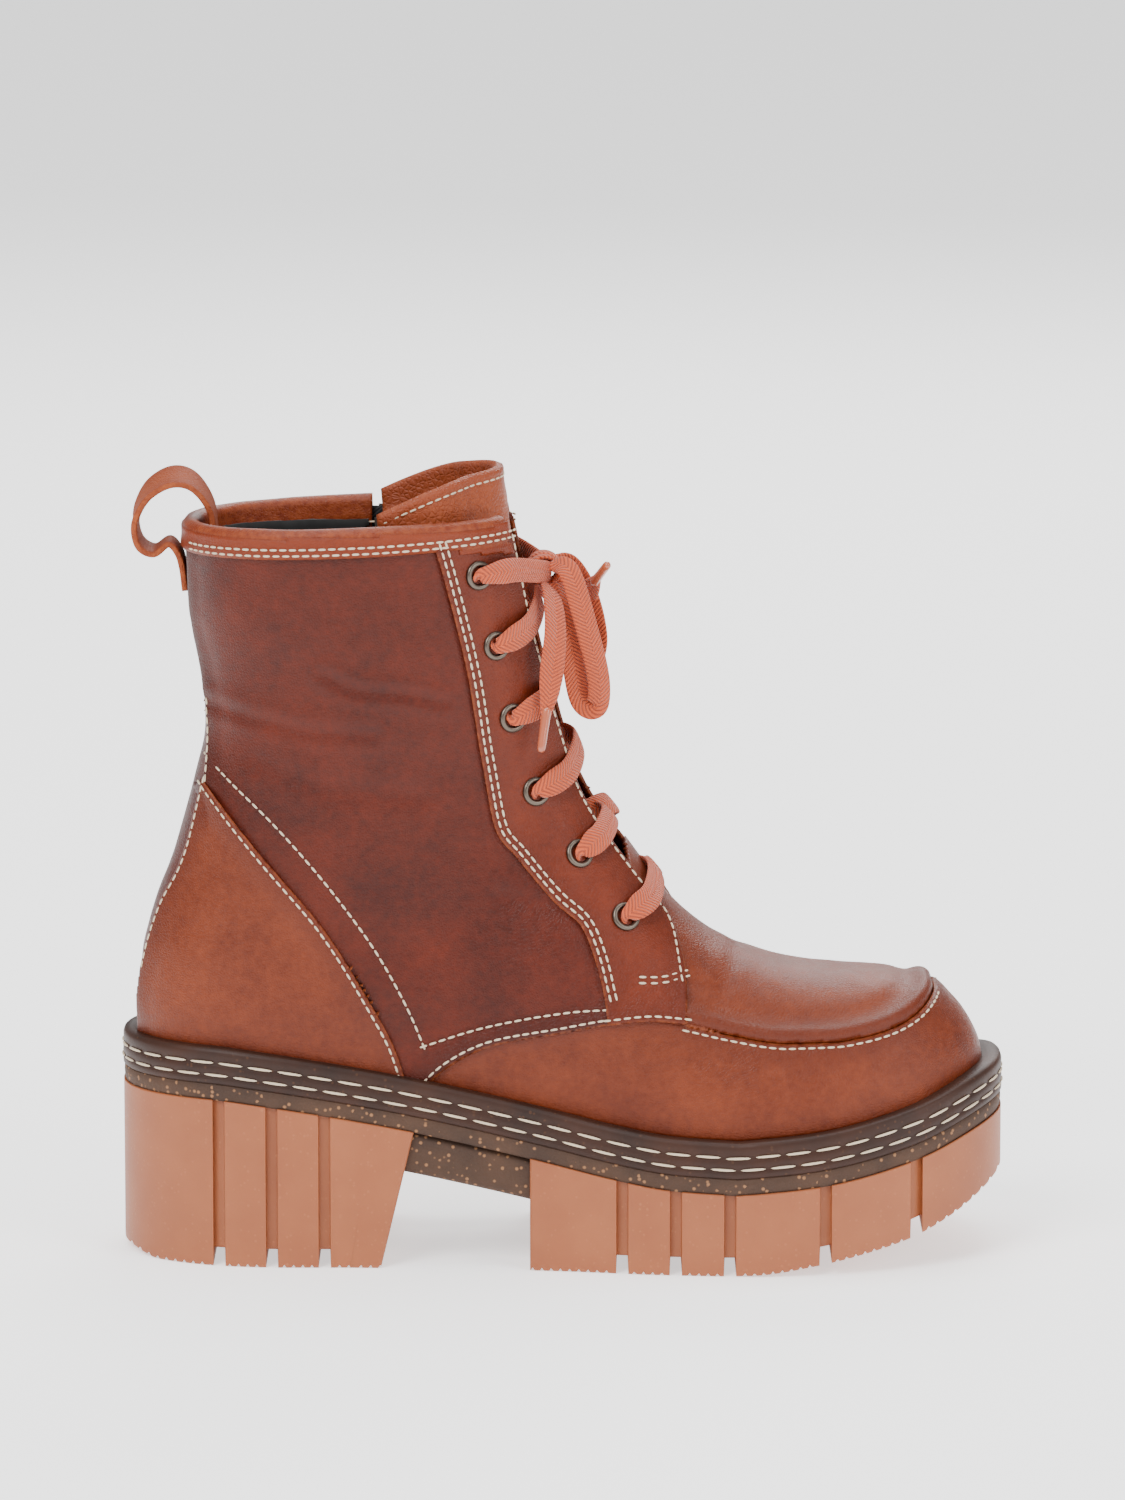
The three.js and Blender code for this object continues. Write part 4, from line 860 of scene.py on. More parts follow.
def make_panel(name, nodes, finish, sides, outline, edges, shape, thickness):
    points, faces, edge = cut_panel(outline, edges, sides, **shape)
    piece = put(name, points, faces, replaces=nodes, material=finish_of(finish), edge=edge)
    return solidify(piece, thickness)


def cut_strip(outline, ahead, widen=0.0):
    """The part of a side-view outline ahead of or behind the zip, by moving its corners to the zip's edge."""
    corners = np.array(outline, float)
    edge = zip_gap(corners[:, 1]) + widen
    if ahead:
        corners[:, 0] = np.maximum(corners[:, 0], zip_x(corners[:, 1]) + edge)
    else:
        corners[:, 0] = np.minimum(corners[:, 0], zip_x(corners[:, 1]) - edge)
    return [tuple(q) for q in corners]


def ring_of(outline, count):
    """An outline closed and resampled at even steps, so that its corners can be moved onto the zip's edge."""
    return [tuple(q) for q in even(np.array([*outline, outline[0]], float), count)]


def build_panels(settings):
    """The upper's leather shells; the inner side's quarter and collar are each cut in two by the zip."""
    depth = settings.thickness * 1000
    quarter, collar = STYLE["quarter"], STYLE["collar"]
    collar_edges = [COLLAR_LOW, COLLAR_FRONT]
    for name, (finish, node, sides, outline, edges, shape) in PANELS.items():
        make_panel("panel_" + name, [node], finish, sides, outline, edges, shape, depth)
    for side, word in ((LATERAL, "lateral"), (MEDIAL, "medial")):
        make_panel("heel_panel_shell_" + word, ["heel_panel_" + word], "foot" if side == LATERAL else "quarter",
                   (side,), COUNTER_OUTLINE, [COUNTER_EDGE, BACKSTAY_EDGE[:6]], STYLE["heel_panel"], depth)
        make_panel("facing_shell_" + word, ["facing_" + word], "facing", (side,), FACING_OUTLINE,
                   [FACING_REAR, FACING_FRONT, FACING_FOOT], STYLE["facing"], depth)
    make_panel("quarter_shell_lateral", ["quarter_lateral"], "quarter", (LATERAL,), QUARTER_OUTLINE, QUARTER_EDGES,
               quarter, depth)
    make_panel("collar_shell_lateral", ["collar_lateral"], "collar", (LATERAL,), COLLAR_OUTLINE, collar_edges,
               collar, depth)
    for word, ahead, edge in (("front", True, ZIP_FRONT_EDGE), ("rear", False, ZIP_REAR_EDGE)):
        make_panel("quarter_shell_medial_" + word, ["quarter_medial_" + word], "quarter", (MEDIAL,),
                   cut_strip(ring_of(QUARTER_OUTLINE, 400), ahead), [*QUARTER_EDGES, edge], quarter, depth)
        make_panel("collar_shell_medial_" + word, ["collar_medial_" + word], "collar", (MEDIAL,),
                   cut_strip(ring_of(COLLAR_OUTLINE, 400), ahead), [*collar_edges, edge], collar, depth)


# ---------------------------------------------------------------- thread


def capsules(centres, along, up, length, radius, arch=0.0, sides=6):
    """Stitches: at each centre a rod along a direction with pinched ends, its middle raised by arch.
    Section angle a and length share s give the centre plus along times s L / 2, plus (side cos a + up sin a)
    times r sqrt(1 - s^4), plus up times arch (1 - s^2)."""
    share = np.array([-1.0, -0.8, -0.3, 0.3, 0.8, 1.0])
    angle = 2 * np.pi * np.arange(sides) / sides
    across = np.cross(up, along)
    swell = np.sqrt(np.maximum(0.02, 1 - share**4)) * radius
    ring = across[:, None, None] * np.cos(angle)[:, None] + up[:, None, None] * np.sin(angle)[:, None]
    run = along[:, None] * (share * length / 2)[:, None]
    raised = up[:, None] * (arch * (1 - share**2))[:, None]
    middle = centres[:, None] + run + raised
    verts = middle[:, :, None] + ring * swell[:, None, None]
    rows = len(share)
    count = rows * sides
    starts = np.arange(len(centres))[:, None, None] * count
    quads = (grid_faces(rows, sides, ring=True)[None] + starts).reshape(-1, 4)
    ends = np.array([np.arange(sides)[::-1], (rows - 1) * sides + np.arange(sides)])
    caps = (ends[None] + starts).reshape(-1, sides)
    return verts.reshape(-1, 3), [tuple(q) for q in quads] + [tuple(q) for q in caps]


def seam(line, side, inset, lift, pitch=3.0):
    """Stitch places beside a side-view line: inset along the surface, then lifted to the panel's height."""
    base = silhouette(smooth(line, 200), side)
    _, normal = on_upper(base[:, [0, 2]], side)
    tangent = unit(np.gradient(base, axis=0))
    moved = base + np.cross(normal, tangent) * inset
    moved = silhouette(moved[:, [0, 2]], side)
    count = max(3, int(lengths(moved)[-1] / pitch))
    p = even(moved, count)
    _, n = on_upper(p[:, [0, 2]], side)
    t = unit(np.gradient(p, axis=0))
    n = unit(n - t * np.sum(n * t, -1, keepdims=True))
    return p + n * (lift + relief(p))[:, None], t, n


FACING_TAB = [(37, 93), (30, 92.2), (24, 92.6)]
YOKE_LINE = [(-112.5, 160), (-90.4, 140), (-71.7, 118), (-57.8, 97.9), (-48.7, 80.8), (-44.4, 70.5)]
YOKE_FOOT = [(-44.4, 70.5), (-25.6, 76.6), (-7.3, 80.6), (4, 82.2), (13, 82.8)]
# Each row of stitches: its line, its inset, its height above the upper, and the panel that it is inset into.
SEAMS = [
    (COUNTER_EDGE, 1.6, 2.35, COUNTER_OUTLINE), (BACKSTAY_EDGE[:6], 1.6, 2.35, COUNTER_OUTLINE),
    (BACKSTAY_EDGE[5:], 1.7, 1.85, QUARTER_OUTLINE), (VAMP_EDGE, 1.7, 1.8, QUARTER_OUTLINE),
    (FACING_REAR[1:], 1.7, 2.45, FACING_OUTLINE), (FACING_REAR[1:], 3.6, 2.4, FACING_OUTLINE),
    (FACING_FRONT[1:], 1.8, 2.45, FACING_OUTLINE), (FACING_FOOT, 1.6, 2.4, FACING_OUTLINE),
    (COLLAR_SEAM, 0.0, 2.35, COLLAR_OUTLINE), (COLLAR_SEAM, 1.9, 2.3, COLLAR_OUTLINE),
    (APRON_EDGE, 1.7, 0.75, VAMP_OUTLINE), (YOKE_LINE, 0.0, 1.0, FACING_OUTLINE),
    (YOKE_FOOT, 0.0, 1.45, FACING_OUTLINE), (FACING_TAB, 0.0, 1.95, FACING_OUTLINE),
    (FACING_TAB, 1.9, 1.95, FACING_OUTLINE),
]


def build_thread(settings):
    """Rows of stitches along the upper's seams; each row's inward side is found from the panel it holds."""
    parts = []
    for line, inset, lift, outline in SEAMS:
        for side in (LATERAL, MEDIAL):
            probe = seam(line, side, abs(inset) + 0.3, 0)[0]
            sign = 1 if inside(probe[:, [0, 2]], outline).mean() > 0.5 else -1
            p, t, n = seam(line, side, sign * inset, lift)
            if side == MEDIAL:
                clear = np.abs(p[:, 0] - zip_x(p[:, 2])) > zip_gap(p[:, 2]) + 0.8
                p, t, n = p[clear], t[clear], n[clear]
            clear = (p[:, 0] > back_x(p[:, 2]) + 0.6) & (p[:, 0] < front_x(np.maximum(p[:, 2], 62)) - 0.05)
            parts.append((p[clear], t[clear], n[clear]))
    for edge, sign in ((ZIP_FRONT_EDGE, 1), (ZIP_REAR_EDGE, -1)):
        line = [(x + sign * 1.9, z) for x, z in edge if 79 < z < 226]
        parts.append(seam(line, MEDIAL, 0, 1.9))
    p, t, n = (np.concatenate([part[k] for part in parts]) for k in range(3))
    verts, faces = capsules(p, t, n, settings.pitch * 1000 * 0.8, settings.thread * 500)
    put("upper_stitching", verts, faces, slot="lace", material=finish_of("thread"))


# ---------------------------------------------------------------- sole


def outline_at(margin, count=720):
    """The feather line round the foot moved out by a margin: points, outward directions; closed, even."""
    turn = np.linspace(0, 2, 1601)[:-1]
    base = upper_point(np.zeros_like(turn), turn)[:, :2]
    tangent = unit(np.roll(base, -1, 0) - np.roll(base, 1, 0))
    out = np.stack([tangent[:, 1], -tangent[:, 0]], 1)
    out = unit(out + np.roll(out, 6, 0) + np.roll(out, -6, 0) + np.roll(out, 12, 0) + np.roll(out, -12, 0))
    middle = base.mean(0)
    if np.sum(out * (base - middle)) < 0:
        out = -out
    moved = base + out * margin
    ring = even(np.vstack([moved, moved[:1]]), count)[:-1]
    tangent = unit(np.roll(ring, -1, 0) - np.roll(ring, 1, 0))
    direction = np.stack([tangent[:, 1], -tangent[:, 0]], 1)
    if np.sum(direction * (ring - middle)) < 0:
        direction = -direction
    return ring, direction


def sides_at(margin):
    """The outline's y on the outer and inner side as functions of x, and its ends."""
    ring, _ = outline_at(margin, 1600)
    low, high = ring[:, 0].argmin(), ring[:, 0].argmax()
    turned = np.roll(ring, -low, 0)
    split = (high - low) % len(ring)
    a, b = turned[: split + 1], np.vstack([turned[split:], turned[:1]])[::-1]
    lateral, medial = (a, b) if a[:, 1].mean() < b[:, 1].mean() else (b, a)
    return read_off(lateral, 0, 1), read_off(medial, 0, 1), turned[0, 0], turned[split, 0]


GROOVE, RECESS, TREAD, TOOTH_PITCH = 3.6, 2.4, 5.4, 2.9
HEEL_LUGS = (-109.0, -92.3, -75.7)
FORE_LUGS = (18.0, 34.8, 51.8, 81.8, 110.6)
ground = curve([(48, 0), (60, 0.4), (80, 3.4), (95, 6.6), (109, 10.4), (122, 16), (133, 22.5), (141, 28)])


def block(name, node, start, end, lugs, tilt=0.0):
    """A lugged block as rounded rectangular sections across the boot, one per station along it.
    Stations crowd at each groove's walls; in a groove the sides go in by the recess and the floor up by the
    tread. Between grooves both lower edges have small teeth. Near its front end the block leans back by tilt
    times its depth."""
    lateral, medial, back, front = sides_at(SOLE["margin"])
    low, high = max(start, back + 0.02), min(end, front - 0.02)
    share = np.linspace(0, 1, 300)
    even_x = np.linspace(low, high, 300)
    clustered = mix(low, high, (1 - np.cos(np.pi * share)) / 2)
    walls = [v + s * (GROOVE / 2 + e) for v in lugs for s in (-1, 1) for e in (-0.5, -0.12, 0.12, 0.5)]
    ends_x = [low + 0.3, low + 1, high - 0.3, high - 1]
    x = np.unique(np.round(np.concatenate([even_x, clustered, walls, ends_x]), 3))
    x = x[(x >= low) & (x <= high)]
    gap = np.min(np.abs(x[:, None] - np.array(lugs)[None]), 1)
    cut = 1 - ease((gap - GROOVE / 2 + 0.12) / 0.24)
    floor = np.where(x > 48, np.maximum(0, ground(x)), 0) + 2.5 * (1 - ease((x - back) / 12))
    peaks = np.maximum(0, 1 - np.abs(((x / TOOTH_PITCH) % 1) - 0.5) * 5)
    teeth = peaks * (1 - cut) * ease((gap - GROOVE / 2 - 0.8) / 0.8)
    bottom = floor + cut * TREAD
    ends = np.minimum(1, np.minimum(x - low if start > back else 9.0, high - x if end < front else 9.0) / 1.2)
    edge = 0.9 * (1 - np.sqrt(np.maximum(0, 1 - (1 - np.clip(ends, 0, 1)) ** 2)))
    y0 = lateral(x) + RECESS * cut + edge
    y1 = medial(x) - RECESS * cut - edge
    top = sole_top(x)
    height = top - bottom
    radius = np.minimum(0.9, np.minimum((y1 - y0) * 0.3, height * 0.3))
    angle = np.linspace(0, np.pi / 2, 5)
    corners = [(1, 1, 0), (0, 1, 1), (0, 0, 2), (1, 0, 3)]
    ring_y, ring_z = [], []
    for right, upper, quarter in corners:
        a = angle + quarter * np.pi / 2
        cy = np.where(right, y1 - radius, y0 + radius)
        cz = np.where(upper, top - radius * 0.4, bottom + radius)
        ring_y.append(cy[:, None] + radius[:, None] * np.cos(a))
        ring_z.append(cz[:, None] + (radius * (0.4 if upper else 1.0))[:, None] * np.sin(a))
        if quarter in (0, 2):
            steps = np.linspace(0, 1, 22)[1:-1]
            far_y, far_z = (y0 + radius, top) if quarter == 0 else (y1 - radius, bottom)
            ring_y.append(mix(cy[:, None], far_y[:, None], steps))
            ring_z.append(np.broadcast_to(far_z[:, None], (len(x), len(steps))))
        else:
            steps = np.linspace(0, 1, 12)[1:-1]
            wall = y0 if quarter == 1 else y1
            z_from, z_to = top - radius * 0.4, bottom + radius
            if quarter == 3:
                z_from, z_to = z_to, z_from
            ring_y.append(np.broadcast_to(wall[:, None], (len(x), len(steps))))
            ring_z.append(mix(z_from[:, None], z_to[:, None], steps))
    y, z = np.concatenate(ring_y, 1), np.concatenate(ring_z, 1)
    near_side = np.minimum(y - y0[:, None], y1[:, None] - y)
    z = z + teeth[:, None] * (1 - ease((z - floor[:, None]) / 1.2)) * (1 - ease(near_side - 5))
    lean = tilt * ease((x - (end - 20)) / 12)[:, None] * (top[:, None] - z)
    verts, faces = closed_tube(np.stack([x[:, None] - lean, y, z], -1))
    return put(name, verts, faces, replaces=[node], slot="gum_rubber", material=finish_of("rubber"),
               smooth_faces=False)


def band(name, profile, replaces, finish, slot, level, margin=SOLE["margin"]):
    """A closed profile of (out, up) points carried round the outline, up measured from a line along the boot."""
    ring, out = outline_at(margin)
    section = np.array(profile, float)
    z = level(ring[:, 0])[:, None] + section[:, 1]
    xy = ring[:, None] + out[:, None] * section[:, :1]
    grid = np.concatenate([xy, z[..., None]], -1)
    rows, columns = grid.shape[:2]
    verts = grid.reshape(-1, 3)
    faces = [tuple(q) for q in grid_faces(rows, columns, ring=True, tube=True)]
    return put(name, verts, orient(verts, faces), replaces=replaces, slot=slot, material=finish_of(finish))


def build_sole(settings):
    """The two lugged blocks, the welt and midsole bands, the arch's fill and the welt's two rows of stitches."""
    block("heel_block_shell", "heel_block", -200, -47.5, HEEL_LUGS, tilt=0.24)
    block("forefoot_block_shell", "forefoot_block", -11, 200, FORE_LUGS)
    welt = [
        (-12, -0.2), (-6.4, 0.0), (-5.2, 0.5), (-2.4, 0.7), (-0.9, 0.5), (-0.25, -0.1), (0.05, -1.0), (0.05, -3.2),
        (-0.25, -3.7), (-0.25, -4.3), (0.1, -4.8), (0.15, -7.1), (-0.15, -7.6), (-0.15, -8.2), (0.15, -8.7),
        (0.1, -10.4), (-0.5, -10.9), (-12, -10.9),
    ]
    cork = [(-12, -10.8), (-0.7, -10.8), (-0.35, -11.2), (-0.2, -13.0), (-0.4, -15.2), (-0.8, -16.2), (-12, -16.2)]
    band("welt_shell", welt, ["welt"], "welt", "welt", welt_top)
    band("midsole_shell", cork, [], "cork", "cork_mix", welt_top)
    arch_filler()
    ring, out = outline_at(SOLE["margin"])
    closed = np.vstack([ring, ring[:1]])
    directions = np.vstack([out, out[:1]])
    for name, drop, phase in (("welt_stitching_upper", 4.0, 0.0), ("welt_stitching_lower", 7.9, 0.5)):
        run = lengths(closed)
        count = int(run[-1] / (settings.stitch * 1000))
        at = (np.arange(count) + phase) * run[-1] / count
        xy = np.stack([np.interp(at, run, closed[:, k]) for k in range(2)], 1)
        direction = unit(np.stack([np.interp(at, run, directions[:, k]) for k in range(2)], 1))
        z = welt_top(xy[:, 0]) - drop
        slope = (welt_top(xy[:, 0] + 1) - welt_top(xy[:, 0] - 1)) / 2
        along = unit(np.stack([-direction[:, 1], direction[:, 0], -direction[:, 1] * slope], 1))
        up = np.concatenate([direction, np.zeros((count, 1))], 1)
        centres = np.concatenate([xy, z[:, None]], 1) - up * 0.05
        verts, faces = capsules(centres, along, up, 7.8, 0.42, arch=0.25)
        put(name, verts, faces, slot="lace", material=finish_of("thread"))


def arch_filler():
    """The midsole's fill between the blocks: sections across the waist, its lower face falling
    by the arch's depth from the blocks' top line and rounded at both sides."""
    lateral, medial, _, _ = sides_at(SOLE["margin"] - 2)
    x = np.linspace(-50.5, -10.5, 60)
    angle = np.linspace(0, 2 * np.pi, 49)[:-1]
    c, s = np.cos(angle), np.sin(angle)
    shape_y = np.sign(c) * np.abs(c) ** 0.25
    shape_z = np.sign(s) * np.abs(s) ** 0.35
    middle = (lateral(x) + medial(x)) / 2
    half = (medial(x) - lateral(x)) / 2
    top = sole_top(x) + 1
    bottom = sole_top(x) - 15.0
    y = middle[:, None] + half[:, None] * shape_y
    z = ((top + bottom) / 2)[:, None] + ((top - bottom) / 2)[:, None] * shape_z
    verts, faces = closed_tube(np.stack([np.broadcast_to(x[:, None], y.shape), y, z], -1))
    put("arch_shell", verts, faces, replaces=["midsole"], slot="cork_mix", material=finish_of("cork"))


# ---------------------------------------------------------------- collar rim, lining and tongue


def rim_path(side, x_from, x_to, count=160):
    """The collar's top line on one side: points, level outward directions."""
    x = np.linspace(x_from, x_to, count)
    p, n = on_upper(np.stack([x, collar_top(x) - 1.5], 1), side)
    n[:, 2] = 0
    return p, unit(n)


def build_collar(settings):
    """The collar's rolled top: from the outside over an oval of half axes 2.9 and 2.6 to a leather band inside."""
    turn = np.linspace(-0.2, np.pi + 0.1, 12)
    over = [(-1.1 + 2.9 * np.cos(a), -0.6 + 2.6 * np.sin(a)) for a in turn]
    outer = [(1.95, -5.0), *over, (-4.15, -4.0), (-4.5, -9.5)]
    inner = [(-3.6, -9.5), (-3.2, -3.4), (-1.1, -1.4), (0.9, -2.4), (1.0, -5.0)]
    section = np.array(outer + inner)
    back_l, n_l = rim_path(LATERAL, -118.9, -20.0, 170)
    back_m, n_m = rim_path(MEDIAL, -118.9, zip_x(233) - 4.6, 90)
    rear = np.vstack([back_l[::-1], back_m[1:]])
    rear_n = np.vstack([n_l[::-1], n_m[1:]])
    blur = np.array([1, 2, 3, 2, 1]) / 9
    padded = np.vstack([rear_n[:1]] * 2 + [rear_n] + [rear_n[-1:]] * 2)
    rear_n = unit(np.stack([np.convolve(padded[:, k], blur, "valid") for k in range(3)], 1))
    front, front_n = rim_path(MEDIAL, zip_x(233) + 4.6, -20.0, 90)
    for name, line, out in (("collar_rim_rear", rear, rear_n), ("collar_rim_front", front, front_n)):
        wobble = 0.25 * hash_noise(line, 12.0, 9)
        rise = section[None, :, 1:] + wobble[:, None, None]
        grid = line[:, None] + out[:, None] * section[None, :, :1] + np.array([0, 0, 1.0]) * rise
        put(name, *closed_tube(grid), material=finish_of("collar"))
    parts = []
    for line, out in ((rear, rear_n), (front, front_n)):
        p = even(line, int(lengths(line)[-1] / 3.0))
        share, known = np.linspace(0, 1, len(p)), np.linspace(0, 1, len(out))
        n = unit(np.stack([np.interp(share, known, out[:, k]) for k in range(3)], 1))
        t = unit(np.gradient(p, axis=0))
        parts.append((p - n * 4.35 + np.array([0, 0, -6.8]), t, -n))
    p, t, n = (np.concatenate([part[k] for part in parts]) for k in range(3))
    put("rim_stitching", *capsules(p, t, n, 2.4, 0.35), slot="lace", material=finish_of("thread"))


LINING_NODES = [
    "lining_foot", "lining_shaft_lateral", "lining_shaft_medial_rear", "lining_shaft_medial_front",
    "padding_lateral", "padding_medial", "heel_stiffener", "toe_puff",
]


def build_lining(settings):
    """Fleece inside: the upper's surface set in by 5.2 with a pile of two sizes of noise, open along the
    facings."""
    front = below(FACING_FRONT[1:], -1.5, 0)
    outline = [(-150, 20), (-150, 227), (-60, 229), (-19, 230), *front[::-1], (45, 135), (150, 135), (150, 20)]

    def finish(word, shape, part):
        points, faces, _ = cut_panel(part, [front], shape, profile=lambda d: np.full_like(d, -4.6), every=2)
        pile = 0.35 * hash_noise(points, 2.2, 11) + 0.25 * hash_noise(points, 1.2, 12)
        middle = np.array([points[:, 0].mean(), 0, 0])
        inward = unit((middle - points) * np.array([0.35, 1, 0]))
        points = points + inward * (0.6 + pile[:, None])
        flipped = [tuple(f[::-1]) for f in faces]
        piece = put("fleece_" + word, points, flipped, replaces=LINING_NODES if word == "lateral" else (),
                    slot="fleece", material=finish_of("fleece"))
        solidify(piece, 1.6)

    dense = ring_of(outline, 500)
    finish("lateral", (LATERAL,), outline)
    finish("medial_front", (MEDIAL,), cut_strip(dense, True, 1.0))
    finish("medial_rear", (MEDIAL,), cut_strip(dense, False, 1.0))


def tongue_depth(z, share):
    near = mix(13.2, 1.6, ease((z - 218) / 12))
    far = mix(13.2, 8.2, ease((z - 224) / 9))
    return mix(near, far, ease(share / 0.26))


def upper_normal(reach, turn):
    """Outward normal of the upper by central differences in reach and turn."""
    r = np.clip(reach, 0.6, FRONT_TOTAL - 0.6)
    along = upper_point(r, turn + 0.01) - upper_point(r, turn - 0.01)
    up = upper_point(r + 0.5, turn) - upper_point(r - 0.5, turn)
    return unit(np.cross(along, up))


TONGUE_FOOT, TONGUE_MIDDLE, TONGUE_CORNER = 114, 251, 238


def tongue_top(share):
    """Reach of the tongue's top edge: highest in the middle, falling with share^1.8 towards the corners."""
    return reach_at(mix(TONGUE_MIDDLE, TONGUE_CORNER, share**1.8))


def tongue_wing(row):
    """Half span of the tongue in turn, narrow at its foot and full before its top."""
    return mix(0.1, 0.44, ease(row * 1.25))


def tongue_turn(across, wing):
    return 1 + np.sign(across) * wing * np.abs(across) ** 0.8


def tongue_normal(reach, turn):
    """Outward normals beside the middle line, where the upper's own are not defined."""
    return upper_normal(reach, np.where(np.abs(turn - 1) < 0.012, 1.012, turn))


def tongue_soft(points):
    return 0.45 * hash_noise(points, 11.0, 21) + 0.2 * hash_noise(points, 4.0, 22)


def build_tongue(settings):
    """Tongue: columns across at shares -1 to 1, rows up to a rounded top edge; it lies under the facings by
    tongue_depth and is closed round its edge, which swells into a bead of half-round section."""
    columns, rows = 121, 150
    column = np.linspace(-1, 1, columns)[None, :]
    row = np.linspace(0, 1, rows)[:, None]
    share = np.abs(column)
    foot, top, wing = reach_at(TONGUE_FOOT), tongue_top(share), tongue_wing(row)
    reach = mix(foot, top, row)
    turn = tongue_turn(column, wing)
    reach, turn = np.broadcast_arrays(reach, turn)
    points = upper_point(reach, turn)
    normal = tongue_normal(reach, turn)
    normal[:, columns // 2, 1] = 0
    for _ in range(4):
        normal[:, 1:-1] = unit(normal[:, :-2] + normal[:, 2:] + normal[:, 1:-1])
    depth = tongue_depth(front_at(reach, 1), np.broadcast_to(share, reach.shape))
    to_edge = np.minimum((1 - share) * wing * 46, (1 - row) * (top - foot))
    bead = 0.45 * bump(to_edge - 1.6, 1.4) - 0.35 * bump(to_edge - 3.4, 0.5)
    round_edge = 1.6 * (1 - np.sqrt(np.maximum(0, 1 - (1 - np.clip(to_edge / 1.6, 0, 1)) ** 2)))
    soft = tongue_soft(points)
    outer = points + normal * (-depth + soft + bead - round_edge)[..., None]
    inner = points + normal * (-depth - 3.2 + soft + round_edge)[..., None]
    grid = np.concatenate([outer, inner[:, ::-1]], 1)
    count = grid.shape[1]
    verts = np.vstack([grid.reshape(-1, 3), grid[0].mean(0)])
    faces = [tuple(q) for q in grid_faces(rows, count, ring=True)]
    j = np.arange(count)
    faces += [(rows * count, (k + 1) % count, k) for k in range(count)]
    last = (rows - 1) * count
    faces += [(last + k, last + k + 1, last + count - 2 - k, last + count - 1 - k) for k in range(columns - 1)]
    edge = np.concatenate([np.concatenate([to_edge, to_edge[:, ::-1]], 1).ravel(), [9.0]])
    put("tongue_shell", verts, orient(verts, faces), body="tongue", replaces=["tongue"], slot="tongue_leather",
        material=finish_of("tongue"), edge=edge)
    s = np.linspace(-0.94, 0.94, 130)
    r = tongue_top(np.abs(s)) - 3.4
    turn = tongue_turn(s, tongue_wing((r - foot) / (reach_at(240) - foot)))
    q = upper_point(r, turn)
    n = tongue_normal(r, turn)
    d = tongue_depth(front_at(r, 1), np.abs(s))
    line = q + n * (-d + tongue_soft(q) + 0.05)[:, None]
    both = even(np.hstack([line, n]), int(lengths(line)[-1] / 2.9))
    t = unit(np.gradient(both[:, :3], axis=0))
    n = unit(both[:, 3:] - t * np.sum(both[:, 3:] * t, -1, keepdims=True))
    put("tongue_stitching", *capsules(both[:, :3], t, n, 2.3, 0.35), body="tongue", slot="lace",
        material=finish_of("thread"))


# ---------------------------------------------------------------- eyelets and lace


def build_eyelets(settings):
    """Each eyelet is one rolled ring: a half-round 0.95 by 0.85 about radius 3.65, its barrel running inwards."""
    a = np.linspace(np.pi, -0.15, 12)
    over = [(3.65 + 0.95 * np.cos(t), 1.9 + 0.85 * np.sin(t)) for t in a]
    section = np.array([(2.7, -7.2), (2.65, 0.0), *over, (4.55, 1.4), (3.1, 1.3), (3.1, -7.2)])
    angle = 2 * np.pi * np.arange(40) / 40
    for side, word in ((LATERAL, "lateral"), (MEDIAL, "medial")):
        for index, place in enumerate(EYELETS):
            p, n = on_upper(place, side)
            across = unit(np.cross(n, np.array([0, 0, 1.0])))
            up = np.cross(across, n)
            ring = across * np.cos(angle)[:, None] + up * np.sin(angle)[:, None]
            grid = p + ring[:, None] * section[None, :, :1] + n * section[None, :, 1:]
            verts = grid.reshape(-1, 3)
            faces = [tuple(q) for q in grid_faces(40, len(section), ring=True, tube=True)]
            place_name = f"{word}_{index + 1}"
            put("eyelet_ring_" + place_name, verts, orient(verts, faces), replaces=["eyelet_" + place_name],
                slot="antique_brass", material=finish_of("bronze"))


def ribbon(points, steps_per=1.0, sides=22):
    """Flat braid along rows of (x, y, z, facing x, y, z, width, thickness): a superellipse section
    (w/2 cos^0.6, t/2 sin^0.8) with fine slanting ribs on both faces; UV is millimetres across and along."""
    rough_length = lengths(np.array(points, float))[-1]
    path = spline(points, max(16, int(rough_length * steps_per)))
    line = path[:, :3]
    tangent, side, normal = frames(line, unit(path[:, 3:6]))
    for _ in range(3):
        normal[1:-1] = unit(normal[:-2] + normal[1:-1] + normal[2:])
    normal = unit(normal - tangent * np.sum(normal * tangent, -1, keepdims=True))
    side = np.cross(normal, tangent)
    angle = 2 * np.pi * np.arange(sides) / sides
    c, s = np.cos(angle), np.sin(angle)
    across = np.sign(c) * np.abs(c) ** 0.6
    up = np.sign(s) * np.abs(s) ** 0.8
    run = lengths(line)
    u = path[:, 6:7] / 2 * across
    rib = np.abs(np.sin(np.pi * (run[:, None] + 0.8 * np.abs(u)) / 1.35)) * 0.16 * np.abs(up)
    v = (path[:, 7:8] / 2 + rib - 0.1) * up
    grid = line[:, None] + side[:, None] * u[..., None] + normal[:, None] * v[..., None]
    uv = np.vstack([np.stack([u.ravel(), np.repeat(run, sides)], 1), [[0, 0], [0, run[-1]]]])
    return *closed_tube(grid), uv, line


EDGE_AT = read_off(fine(FACING_FRONT[2:], 60), 1, 0)


def strand(at, facing, width, thickness=1.6):
    """One row for ribbon(): a place, the way the lace's flat faces there, its width and its thickness."""
    return [*at, *unit(np.asarray(facing, float)), width, thickness]


def crossing(z, y, lift):
    """A place over the gap between the facings, lift in front of the front profile."""
    slope = unit(np.array([8.0, front_x(z - 4) - front_x(z + 4)]))
    return np.array([front_x(z) + slope[0] * lift, y, z + slope[1] * lift]), np.array([slope[0], 0.0, slope[1]])


